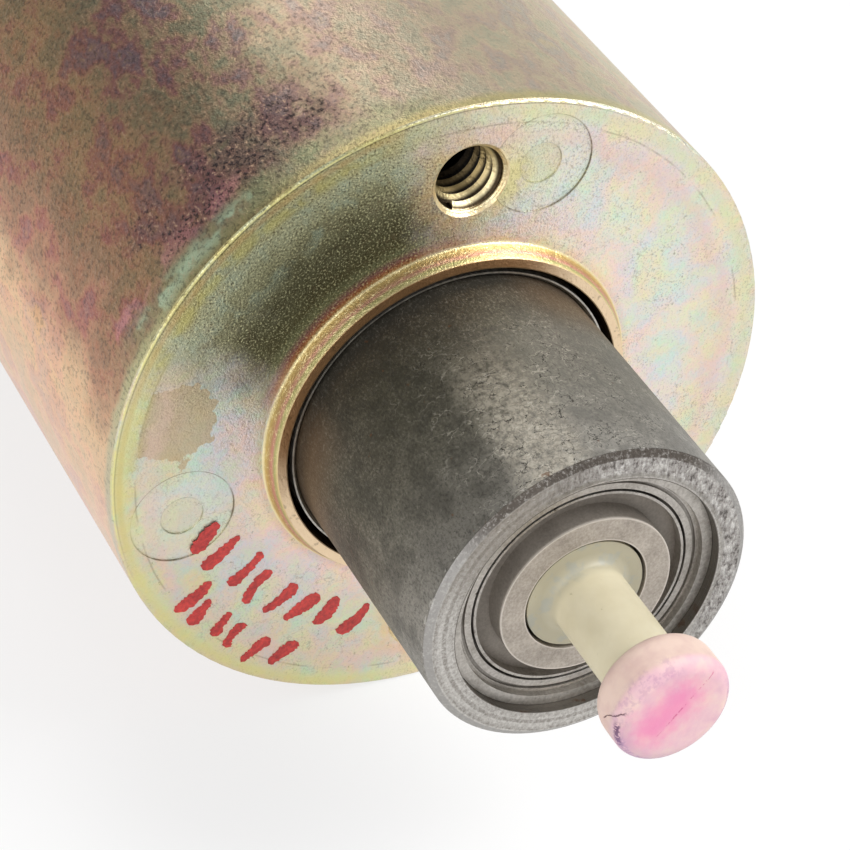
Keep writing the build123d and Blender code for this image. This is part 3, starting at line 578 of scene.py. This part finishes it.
def plungerSteel():
    look = plungerLook
    steel = Finish("wornPlungerSteel", 0.78, 0.5)
    x, reach, seat = steel.x, steel.reach, look["seatRadius"]
    between, sector, blots = steel.between, steel.sector, steel.blots
    slow = steel.noise(5, 4, 0.6)
    mottle = steel.noise(0.30, 5, 0.72, (0.7, 1, 1), (3, 3, 3))
    cloud = steel.noise(3.2, 4, 0.6, shift=(6, 1, 7))
    # a painted highlight along the top, drawn as a rubbed patch with crooked little scores
    rubbedHighlight = steel.all(sector(107, 8, 7, steel.centred(slow, 0.06)), between(x, 9, 18),
            blots(0.34, 0.58, 0.8, 5, 0.7, shift=(1, 1, 7)))
    scratch = steel.wiggles(1.6, 0.014, shift=(4, 0, 2))
    crown = steel.plus(steel.all(sector(92, 36, 14), 0.8), 0.2)
    scored = steel.all(between(cloud, 0.58, 0.42, 0.15, 0.9), crown, between(x, 6, 13))
    ends = steel.calc("MAXIMUM", sector(190, 26, 12), steel.all(sector(48, 22, 12), 0.8))
    body = steel.ramp(steel.plus(x, steel.centred(slow, 9)), look["along"], 0, look["endFace"])
    body = steel.tinted(body,
        ((50, 48, 43), between(mottle, 0.50, 0.64, 0, 0.50)),
        ((164, 160, 148), between(mottle, 0.48, 0.36, 0, 0.40)),
        ((62, 60, 54), between(cloud, 0.44, 0.62, 0, 0.45)),
        # painted shade on the side at 140 degrees and a painted highlight on the side at 72 degrees
        ((58, 56, 51), sector(140, 22, 12, steel.centred(slow, 0.05)), 0.30),
        ((190, 187, 180), sector(72, 26, 14), between(x, 6, 14), 0.22),
        ((204, 196, 180), rubbedHighlight, 0.50),
        ((96, 90, 80), rubbedHighlight, steel.wiggles(0.85, 0.05, shift=(2, 5, 1)), 0.45),
        ((46, 43, 38), scratch, scored),
        ((200, 194, 182), steel.wiggles(2.3, 0.010, shift=(0, 9, 5), stretch=(1, 0.6, 0.6)), scored, 0.6),
        # rust spots, and a painted reflection of the warm collar at both sides near it
        ((112, 76, 50), blots(0.69, 0.745, 1.7, 3, 0.6, shift=(0, 2, 5)), 0.6),
        ((156, 124, 92), between(x, 13, 5), ends, 0.32))
    # end face: rough cast skin on one side, smoother on the other, with painted shade on one side of the
    # face, on the bevel's upper side and over the darker recess wall
    cast = steel.noise(0.62, 4, 0.62, (1, 1.25, 0.7), (6, 0, 0))
    rough = steel.all(sector(38, 72, 14), between(reach, seat + 0.2, seat + 0.8))
    turned = steel.rings(0.5)
    grain = steel.noise(0.40, 4, 0.7, shift=(2, 8, 1))
    smoother = steel.ramp(steel.plus(steel.all(turned, 0.35), steel.all(grain, 0.65)), look["smoothSkin"])
    land = steel.mix(steel.all(steel.without(rough), 0.85), steel.ramp(cast, look["castSkin"]), smoother)
    land = steel.tinted(land, ((124, 116, 106), sector(128, 30, 18), 0.45),
        ((226, 222, 216), blots(0.68, 0.76, 0.35, 2, 0.5, (1, 0.4, 1), high=0.5)))
    bevel = steel.tinted(linear(160, 157, 153), ((94, 87, 80), sector(94, 46, 12)),
        ((196, 192, 186), between(grain, 0.50, 0.66, 0, 0.45)))
    landEdge = look["radius"] - look["chamfer"]
    ending = steel.mix(between(reach, landEdge - 0.05, landEdge + 0.08), land, bevel)
    # the recess wall is darker as painted shade, with brown blots on one side
    wall = steel.tinted(linear(100, 95, 88),
        ((84, 58, 42), sector(275, 60, 20), blots(0.56, 0.66, 1.5, 3, 0.6), 0.8))
    onWall = between(reach, seat + 0.12, seat + 0.03)
    ending = steel.mix(onWall, ending, wall)
    corner = look["endFace"] - look["chamferLength"]
    onEnd = between(x, corner - 0.02, corner + 0.02)
    onMouth = steel.all(onWall, between(x, look["wallBack"], look["wallBack"] + 1))
    whole = steel.mix(steel.calc("MAXIMUM", onEnd, onMouth), body, ending)
    # light chips along the corner, which also stand in for a painted highlight on its edge
    whole = steel.tinted(whole,
        ((210, 206, 200), steel.band(reach, look["radius"], 0.34, 0.14),
            between(x, corner - 0.55, corner - 0.15), blots(0.57, 0.63, 1.2, 4, 0.7, shift=(0, 3, 9)), 0.6))
    steel.coat(Base_Color=whole, Roughness=steel.plus(steel.all(mottle, 0.30), 0.36))
    pits = steel.all(cast, onEnd, steel.plus(steel.all(rough, 0.9), 0.1))
    steel.relief((scratch, -0.03), (mottle, 0.035), (steel.all(turned, onEnd), 0.04), (pits, 1.1))
    return steel


pinLook = {
    "shankEnd": 33.2,
    "headRadius": 6.65,
    "headBack": 46.5,
    "headFront": 52.7,
    "dyeStart": (-2.6, -0.9),
    "dyeEnd": (0.2, 1.7),
    "creaseStart": (-1.9, -2.4),
    "creaseEnd": (3.7, 4.6),
    "crackTurn": 73,             # degrees from the top where the crack meets the front
    "crackSlant": 7.6,           # degrees for each millimetre towards the front
}


def pinNylon():
    look = pinLook
    nylon = Finish("ivoryNylon", 0, 0.40)
    x, reach = nylon.x, nylon.reach
    between, sector, blots = nylon.between, nylon.sector, nylon.blots
    back, tip, outer = look["headBack"], look["headFront"], look["headRadius"]
    ending = between(x, look["shankEnd"] + 2.2, look["shankEnd"] + 0.1)
    # ivory, with the shank's end painted darker as shade and greenish blots on it
    ivory = nylon.tinted(nylon.ramp(nylon.noise(4, 3), [(0.3, (204, 194, 164)), (0.7, (214, 205, 177))]),
        ((158, 152, 130), ending, 0.80),
        ((152, 156, 150), ending, blots(0.52, 0.64, 2.2, 3, shift=(7, 3, 0)), 0.5),
        ((160, 150, 112), blots(0.70, 0.78, 0.7, 2, high=0.5)))
    # dyed head: pale on the shoulder, deep pink in the middle of the front
    onHead = between(nylon.plus(x, nylon.sway(0.8, 3)), back - 0.5, back + 0.8)
    shoulder = nylon.ramp(nylon.noise(2.4, 3), [(0.35, (208, 178, 168)), (0.6, (218, 192, 178))])
    front = nylon.ramp(nylon.noise(3, 4),
            [(0.36, (212, 170, 182)), (0.5, (220, 182, 186)), (0.66, (224, 196, 186))])
    head = nylon.mix(between(x, tip - 1.8, tip - 0.9), shoulder, front)
    dye = nylon.alongLine(look["dyeStart"], look["dyeEnd"], 1.5, 3.3, nylon.noise(1.2, 5), 3.6)
    crease = nylon.alongLine(look["creaseStart"], look["creaseEnd"], 0.05, 0.10, nylon.noise(0.9, 3), 0.45)
    # a slanting crack through the side, with dark specks along the edge below it
    slant = nylon.plus(nylon.turnFromTop(), nylon.all(nylon.minus(x, tip), look["crackSlant"]))
    slant = nylon.plus(slant, nylon.sway(12, 0.8))
    crack = nylon.all(nylon.band(slant, look["crackTurn"], 0.9, 0.8), between(x, tip - 3.2, tip - 2.7),
            between(x, tip - 0.1, tip - 0.6), between(reach, outer - 2.05, outer - 1.65))
    dots = nylon.noise(0.35, 4, 0.65)
    nearFront = between(x, tip - 1.3, tip - 0.8)
    head = nylon.tinted(head,
        ((226, 124, 168), dye, between(x, tip - 1.2, tip - 0.2), 0.80),
        ((196, 76, 124), crease, between(x, tip - 0.4, tip - 0.1), blots(0.42, 0.54, 0.45, 4), 0.8),
        # violet shade low on the head
        ((176, 140, 170), sector(232, 52, 24), between(x, tip - 2.6, tip - 1),
            between(reach, outer - 2.65, outer - 0.45), 0.45),
        ((86, 34, 44), crack, 0.9),
        ((84, 44, 84), sector(193, 14, 5), between(reach, outer - 0.53, outer - 0.33), nearFront,
            between(dots, 0.40, 0.48), 0.9),
        # dark outline of the front, and a bruise
        ((138, 104, 146), sector(285, 92, 14), between(reach, outer - 0.95, outer - 0.5), nearFront,
            between(dots, 0.36, 0.56), 0.55),
        ((160, 112, 150), sector(135, 42, 12), between(reach, outer - 1.65, outer - 0.85),
            between(x, tip - 2.4, tip - 1.2), blots(0.46, 0.60, 0.9, 5, 0.65), 0.30))
    nylon.coat(Base_Color=nylon.mix(onHead, ivory, head), Roughness=nylon.plus(nylon.all(onHead, 0.18), 0.42),
            Subsurface_Weight=0.12, Subsurface_Radius=(1, 0.9, 0.6), Subsurface_Scale=1.2 * mm)
    nylon.relief((nylon.noise(0.9, 3), 0.03), (nylon.all(crack, -1), 0.15))
    return nylon


def plainFinish(name, dark, light, roughness, grainSize, stretch=(1, 1, 1), metallic=0.9, deep=0.01):
    # one material with fine working marks and a slow change of tone
    made = Finish(name, metallic, roughness)
    marks = made.noise(grainSize, 4, 0.6, stretch=stretch)
    blotch = made.noise(grainSize * 9, 3)
    mixed = made.plus(made.all(marks, 0.6), made.all(blotch, 0.4))
    made.tone = made.ramp(mixed, [(0.35, dark), (0.65, light)])
    made.coat(Base_Color=made.tone, Roughness=made.plus(made.all(marks, 0.25), roughness - 0.12))
    made.relief((marks, deep))
    return made


bushLook = {
    "innerRadius": 7.15,
    "outerRadius": 9.98,
    "endFace": 33.3,
}


def bushSteel():
    # sintered bush: speckled face with a painted highlight along the arris at each edge, and painted shade on
    # its side just behind the end face
    bush = plainFinish("sinteredBush", (148, 139, 129), (190, 181, 170), 0.6, 0.30, metallic=0.5, deep=0.02)
    outer, end = bushLook["outerRadius"], bushLook["endFace"]
    arrisHighlight = bush.calc("MAXIMUM", bush.band(bush.reach, outer, 0.22, 0.10),
            bush.band(bush.reach, bushLook["innerRadius"], 0.22, 0.10))
    bush.coat(Base_Color=bush.tinted(bush.tone,
        ((96, 90, 82), bush.between(bush.x, end, end - 0.4),
            bush.between(bush.reach, outer - 0.98, outer - 0.38), 0.5),
        ((222, 214, 204), arrisHighlight, bush.between(bush.x, end - 0.2, end), 0.7)))
    return bush


ringLook = {
    "grooveRadius": 12.6,
    "grooveWidth": 0.8,
    "grooveShadeDepth": (31.9, 31.5),     # along X, where the painted shade of the deep groove starts and is full
}


def ringSteel():
    # retainer and ring: light flats, dirt in the grooves, and painted shade deep down in the groove
    ring = plainFinish("greyRingSteel", (150, 144, 136), (198, 193, 186), 0.42, 0.35, metallic=0.8,
            deep=0.015)
    middle = ringLook["grooveRadius"]
    ring.coat(Base_Color=ring.tinted(ring.tone,
        ((64, 52, 42), ring.blots(0.60, 0.68, 0.9, 4, 0.65),
            ring.band(ring.reach, middle, ringLook["grooveWidth"], 0.3)),
        ((74, 68, 62), ring.between(ring.x, *ringLook["grooveShadeDepth"]),
            ring.between(ring.reach, middle - 0.4, middle - 0.1))))
    return ring


# dark and light tone, roughness, width of the marks, what else differs, and the nodes that wear it
plainLooks = {
    "brightSleeve": ((150, 146, 138), (206, 202, 192), 0.35, 0.6, {"stretch": (0.06, 1, 1)}, "guide_sleeve"),
    "plainTurnedSteel": ((120, 120, 118), (168, 168, 164), 0.38, 0.5, {"stretch": (4, 1, 1)},
        "fixed_core contact_rod"),
    "zincPlatedSteel": ((150, 150, 148), (204, 204, 200), 0.35, 0.8, {},
        "rod_washer cap_screws stud_washers switch_stud earth_stud"),
    "springSteel": ((70, 72, 76), (120, 122, 126), 0.35, 0.7, {},
        "rod_clip lock_washers plunger_return_spring meshing_spring contact_spring carrier_spring"),
    "tarnishedCopper": ((150, 88, 58), (206, 136, 96), 0.38, 0.9, {}, "battery_stud motor_stud"),
    "brightCopper": ((186, 108, 72), (224, 150, 108), 0.30, 0.7, {}, "contact_disc"),
    "enamelledWire": ((120, 56, 26), (178, 92, 44), 0.32, 0.45, {"stretch": (6, 0.2, 0.2)},
        "pull_in_winding hold_in_winding switch_lead earth_lead motor_lead"),
    "nutBrass": ((160, 124, 58), (214, 180, 100), 0.36, 0.7, {}, "clamp_nuts cable_nuts small_nuts"),
    "blackRubber": ((22, 22, 22), (44, 44, 43), 0.75, 0.4, {"metallic": 0}, "cap_gasket stud_seals"),
    "mouldedCap": ((26, 23, 21), (48, 43, 39), 0.52, 1.2, {"metallic": 0, "deep": 0.03},
        "front_insulating_bush rear_insulating_bush terminal_cap"),
    "vulcanisedFibre": ((96, 34, 24), (140, 56, 38), 0.7, 0.5, {"metallic": 0},
        "front_insulator rear_insulator"),
    "whiteNylon": ((206, 200, 184), (228, 224, 210), 0.5, 2, {"metallic": 0}, "coil_bobbin"),
    "wovenTape": ((176, 166, 132), (214, 206, 176), 0.85, 0.4,
        {"stretch": (3, 1, 1), "metallic": 0, "deep": 0.05}, "winding_wrap"),
}

worn = [
    (plateZinc(), "housing"),
    (plungerSteel(), "plunger"),
    (ringSteel(), "retaining_ring spring_retainer"),
    (bushSteel(), "pin_bush"),
    (pinNylon(), "pull_pin"),
]
for name, (dark, light, roughness, grainSize, other, nodes) in plainLooks.items():
    worn.append((plainFinish(name, dark, light, roughness, grainSize, **other), nodes))
materialOf = {node: finish.material for finish, nodes in worn for node in nodes.split()}
for node, material in materialOf.items():
    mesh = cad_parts[node].data
    mesh.materials.clear()
    mesh.materials.append(material)
print("finishes on", len(materialOf), "nodes")


class Growth(Wiring):
    # a geometry node tree written as short calls
    def __init__(self, name, inputs):
        self.tree = bpy.data.node_groups.new(name, "GeometryNodeTree")
        sockets = self.tree.interface
        sockets.new_socket(name="Geometry", in_out="OUTPUT", socket_type="NodeSocketGeometry")
        for label, kind, value in inputs:
            socket = sockets.new_socket(name=label, in_out="INPUT", socket_type="NodeSocket" + kind)
            socket.default_value = value
        sockets.new_socket(name="Finish", in_out="INPUT", socket_type="NodeSocketMaterial")
        self.given = self.tree.nodes.new("NodeGroupInput").outputs

    def geo(self, kind, **inputs):
        return self.node("GeometryNode" + kind, **inputs)

    def join(self, *parts):
        made = self.tree.nodes.new("GeometryNodeJoinGeometry")
        for part in reversed(parts):
            self.tree.links.new(part, made.inputs[0])
        return made.outputs[0]

    def layAlongX(self, geometry, start):
        return self.geo("Transform", Geometry=geometry, Translation=start,
                Rotation=(0.0, math.radians(90), 0.0))

    def close(self, geometry):
        real = self.node("GeometryNodeRealizeInstances", Geometry=geometry)
        coated = self.node("GeometryNodeSetMaterial", Geometry=real, Material=self.given["Finish"])
        self.tree.links.new(coated, self.tree.nodes.new("NodeGroupOutput").inputs[0])
        return self.tree


def helixTree():
    # a wire or a thread ridge wound round the X axis
    grow = Growth("helixRidge", [("Radius", "Float", 5 * mm), ("Length", "Float", 10 * mm),
            ("Turns", "Float", 8.0), ("Ridge", "Float", 0.5 * mm), ("Sides", "Int", 4),
            ("Steps", "Int", 40), ("Smooth", "Bool", True), ("Start", "Vector", (0.0, 0.0, 0.0))])
    given = grow.given
    spiral = grow.geo("CurveSpiral", Resolution=given["Steps"], Rotations=given["Turns"],
            Start_Radius=given["Radius"], End_Radius=given["Radius"], Height=given["Length"])
    upright = grow.geo("SetCurveNormal", settings={"mode": "Z_UP"}, Curve=spiral)
    section = grow.geo("CurvePrimitiveCircle", Resolution=given["Sides"], Radius=given["Ridge"])
    swept = grow.geo("CurveToMesh", Curve=upright, Profile_Curve=section, Fill_Caps=True)
    laid = grow.layAlongX(swept, given["Start"])
    return grow.close(grow.geo("SetShadeSmooth", Geometry=laid, Shade_Smooth=given["Smooth"]))


def studTree():
    # a stud along X: square or round head, plain shank, threaded free end with a bevelled point
    grow = Growth("threadedStud", [("Root", "Float", 4.1 * mm), ("Crest", "Float", 5.0 * mm),
            ("Shank", "Float", 4.5 * mm), ("Length", "Float", 43 * mm), ("Free", "Float", 11 * mm),
            ("Pitch", "Float", 1.5 * mm), ("Point", "Float", 0.8 * mm), ("Steps", "Int", 280),
            ("Head Width", "Float", 13 * mm), ("Head Corner", "Float", 1.5 * mm),
            ("Middle", "Vector", (0.0, 0.0, 0.0)), ("Head Start", "Vector", (0.0, 0.0, 0.0)),
            ("Head End", "Vector", (0.0, 0.0, 0.0))])
    given = grow.given
    tube = grow.geo("MeshCylinder", Vertices=44, Radius=1.0, Side_Segments=given["Steps"],
            Depth=given["Length"]).node.outputs
    across, aside, along = grow.node("ShaderNodeSeparateXYZ",
            Vector=grow.geo("InputPosition")).node.outputs
    turn = grow.calc("DIVIDE", grow.calc("ARCTAN2", aside, across), 2 * math.pi)
    fromTip = grow.plus(along, grow.calc("DIVIDE", given["Length"], 2.0))
    phase = grow.minus(grow.calc("DIVIDE", fromTip, given["Pitch"]), turn)
    phase = grow.calc("FRACT", grow.plus(phase, 5.0))
    wave = grow.calc("ABSOLUTE", grow.minus(grow.all(phase, 2.0), 1.0))
    # flat crests and roots, sloping flanks between
    wave = grow.calc("DIVIDE", grow.minus(wave, 0.12), 0.76, clamp=True)
    threaded = grow.plus(given["Root"], grow.all(grow.minus(given["Crest"], given["Root"]), wave))
    bevel = grow.plus(grow.minus(given["Crest"], given["Point"]), fromTip)
    threaded = grow.calc("MINIMUM", threaded, bevel)
    isShank = grow.calc("GREATER_THAN", fromTip, grow.minus(given["Free"], 0.1 * mm))
    size = grow.plus(threaded, grow.all(isShank, grow.minus(given["Shank"], threaded)))
    moved = grow.node("ShaderNodeCombineXYZ", X=grow.all(across, size), Y=grow.all(aside, size), Z=along)
    body = grow.geo("SetPosition", Geometry=tube["Mesh"], Position=moved)
    body = grow.geo("SetShadeSmooth", Geometry=body, Selection=tube["Side"], Shade_Smooth=True)
    body = grow.layAlongX(body, given["Middle"])
    line = grow.geo("CurvePrimitiveLine", Start=given["Head Start"], End=given["Head End"])
    line = grow.geo("SetCurveNormal", settings={"mode": "Z_UP"}, Curve=line)
    square = grow.geo("CurvePrimitiveQuadrilateral", Width=given["Head Width"],
            Height=given["Head Width"])
    rounded = grow.geo("FilletCurve", settings={"mode": "POLY"}, Curve=square, Count=8,
            Radius=given["Head Corner"], Limit_Radius=True)
    head = grow.geo("CurveToMesh", Curve=line, Profile_Curve=rounded, Fill_Caps=True)
    head = grow.geo("SetShadeSmooth", Geometry=head, Shade_Smooth=False)
    return grow.close(grow.join(body, head))


def growPiece(name, tree, values):
    # runs a node tree once and keeps the result as a plain mesh
    carrier = addObject(name + "Source", bpy.data.meshes.new(name + "Source"))
    grower = carrier.modifiers.new("grower", "NODES")
    grower.node_group = tree
    for item in tree.interface.items_tree:
        if item.item_type == "SOCKET" and item.in_out == "INPUT" and item.name in values:
            grower[item.identifier] = values[item.name]
    bpy.context.view_layer.update()
    grown = carrier.evaluated_get(bpy.context.evaluated_depsgraph_get())
    mesh = bpy.data.meshes.new_from_object(grown)
    bpy.data.objects.remove(carrier)
    mesh.name = name
    return addObject(name, mesh)


tappedHoles = {
    "wallRadius": 4.05,
    "ridge": 0.72,               # half the width of the thread's foot
    "pitch": 1.45,
    "firstTurn": -1.25,          # along X, the mounting face is at 0
    "lastTurn": -8.6,
    "centres": (30.6, -30.6),
}


def cutThreads(helix):
    hole = tappedHoles
    depth = hole["firstTurn"] - hole["lastTurn"]
    for number, height in enumerate(hole["centres"]):
        ridge = growPiece(f"holeThread{number + 1}", helix, {
            "Radius": hole["wallRadius"] * mm, "Length": depth * mm, "Turns": depth / hole["pitch"],
            "Ridge": hole["ridge"] * mm, "Sides": 4, "Steps": 48, "Smooth": False,
            "Start": (hole["lastTurn"] * mm, 0.0, height * mm), "Finish": materialOf["housing"]})
        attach(ridge, "case")


# each spring: its two seats along X, the radius of its turns and the bodies it stands between
springs = {
    "plungerReturnSpring": {
        "node": "plunger_return_spring", "back": -54.2, "front": -20, "radius": 6.75, "wire": 0.8,
        "turns": 5, "bodies": ("case", "plunger"), "fixedEnd": "back"},
    "meshingSpring": {
        "node": "meshing_spring", "back": -1, "front": 28.7, "radius": 10.85, "wire": 1, "turns": 5,
        "bodies": ("plunger", "pull_pin"), "fixedEnd": "front"},
    "contactSpring": {
        "node": "contact_spring", "back": -90, "front": -82.7, "radius": 5.3, "wire": 0.7, "turns": 3,
        "bodies": ("contact_rod", "contact_bridge"), "fixedEnd": "front"},
    "carrierSpring": {
        "node": "carrier_spring", "back": -109, "front": -98, "radius": 5, "wire": 0.5, "turns": 3,
        "bodies": ("case", "contact_rod"), "fixedEnd": "back"},
}


def windSprings(helix):
    for name, spring in springs.items():
        first, last = spring["back"] + spring["wire"], spring["front"] - spring["wire"]
        piece = growPiece(name, helix, {
            "Radius": spring["radius"] * mm, "Length": (last - first) * mm, "Turns": float(spring["turns"]),
            "Ridge": spring["wire"] * mm, "Sides": 12, "Steps": 48, "Smooth": True,
            "Start": (first * mm, 0.0, 0.0), "Finish": materialOf[spring["node"]]})
        ends = [(spring["back"] * mm, 0.0, 0.0), (spring["front"] * mm, 0.0, 0.0)]
        if spring["fixedEnd"] == "front":
            ends.reverse()
        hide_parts(spring["node"])
        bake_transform(piece)


studs = {
    "batteryStud": {"node": "battery_stud", "place": (17, 0), "kind": "main"},
    "motorStud": {"node": "motor_stud", "place": (-17, 0), "kind": "main"},
    "switchStud": {"node": "switch_stud", "place": (0, 20), "kind": "small"},
    "earthStud": {"node": "earth_stud", "place": (0, -20), "kind": "small"},
}
# in millimetres; tip and seat are places along X
studSizes = {
    "main": {"tip": -146, "free": 11, "seat": -102.6, "root": 4.1, "crest": 4.99, "shank": 4.5,
        "pitch": 1.5, "point": 0.8, "head": 5, "width": 13, "corner": 1.5, "stepsPerTurn": 10},
    "small": {"tip": -129.5, "free": 11, "seat": -102.6, "root": 2.02, "crest": 2.49, "shank": 2.2,
        "pitch": 0.8, "point": 0.5, "head": 2, "width": 7, "corner": 3.49, "stepsPerTurn": 8},
}


def threadStuds():
    tree = studTree()
    for name, stud in studs.items():
        size = studSizes[stud["kind"]]
        y, z = stud["place"]
        seat, length = size["seat"], size["seat"] - size["tip"]
        places = {"Middle": (seat + size["tip"]) / 2, "Head Start": seat, "Head End": seat + size["head"]}
        values = {label: (x * mm, y * mm, z * mm) for label, x in places.items()}
        for label in ("root", "crest", "shank", "free", "pitch", "point"):
            values[label.title()] = size[label] * mm
        values.update({"Length": length * mm, "Steps": round(length / size["pitch"] * size["stepsPerTurn"]),
            "Head Width": size["width"] * mm, "Head Corner": size["corner"] * mm,
            "Finish": materialOf[stud["node"]]})
        piece = growPiece(name, tree, values)
        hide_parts(stud["node"])
        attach(piece, "case")


# loose rows of short slanting dabs brushed on the mounting face
redDabs = {
    "rows": [
        {"start": (-28.6, -10.6), "end": (-9.6, -28.4), "bulge": 1, "count": 8, "length": 5, "width": 1.6},
        {"start": (-30.2, -18.6), "end": (-18.2, -30.8), "bulge": 0.9, "count": 6, "length": 4.8,
            "width": 1.5},
    ],
    "slant": 42,               # degrees from +Y towards +Z
    "thickness": 0.05,
    "lift": 0.002,               # of the paint's underside off the face
    "ragged": 0.32,
    "steps": 22,                 # along each dab
    "seed": 11,
}


def brushDabs():
    given = redDabs
    chance = random.Random(given["seed"])
    points, faces = [], []
    steps = given["steps"]
    wide, top = steps + 1, 2 * (steps + 1)
    for row in given["rows"]:
        (y0, z0), (y1, z1) = row["start"], row["end"]
        for number in range(row["count"]):
            share = number / (row["count"] - 1)
            out = row["bulge"] * 4 * share * (1 - share)
            y = y0 + (y1 - y0) * share - out + chance.uniform(-0.5, 0.5)
            z = z0 + (z1 - z0) * share - out + chance.uniform(-0.5, 0.5)
            turn = math.radians(given["slant"] + chance.uniform(-14, 14))
            length = row["length"] * chance.uniform(0.75, 1.15)
            bend = chance.uniform(-0.5, 0.5)
            upper, lower = [], []
            for step in range(wide):
                t = step / steps
                half = row["width"] / 2 * (1 - (2 * t - 1) ** 6) ** 0.5
                half *= 0.9 + 0.25 * math.sin(4 * t + number)
                ahead, side = (t - 0.5) * length, bend * math.sin(math.pi * t)
                for edge, sign in ((upper, 1), (lower, -1)):
                    reach = side + sign * (half + 0.05 + chance.uniform(-0.5, 0.5) * given["ragged"])
                    edge.append((y + ahead * math.cos(turn) - reach * math.sin(turn),
                        z + ahead * math.sin(turn) + reach * math.cos(turn)))
            base = len(points)
            for height in (given["lift"], given["thickness"]):
                points += [(height * mm, a * mm, b * mm) for a, b in upper + lower]
            for a in range(base, base + steps):
                b = a + wide
                faces += [(a + top, b + top, b + 1 + top, a + 1 + top), (a, a + 1, b + 1, b),
                    (a, a + top, a + 1 + top, a + 1), (b, b + 1, b + 1 + top, b + top)]
            a, b = base, base + wide
            faces.append((a, b, b + top, a + top))
            a, b = a + steps, b + steps
            faces.append((a, a + top, b + top, b))
    mesh = bpy.data.meshes.new("redDabs")
    mesh.from_pydata(points, [], faces)
    paint = plainFinish("redMarkingPaint", (148, 24, 26), (222, 66, 58), 0.42, 0.5, metallic=0, deep=0.03)
    mesh.materials.append(paint.material)
    form = bmesh.new()
    form.from_mesh(mesh)
    bmesh.ops.recalc_face_normals(form, faces=form.faces)
    form.to_mesh(mesh)
    form.free()
    piece = addObject("redDabs", mesh)
    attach(piece, "case")


helix = helixTree()
cutThreads(helix)
print("mounting holes threaded")
windSprings(helix)
print(len(springs), "springs wound")
threadStuds()
print(len(studs), "studs threaded")
brushDabs()
print("face brushed with dabs")
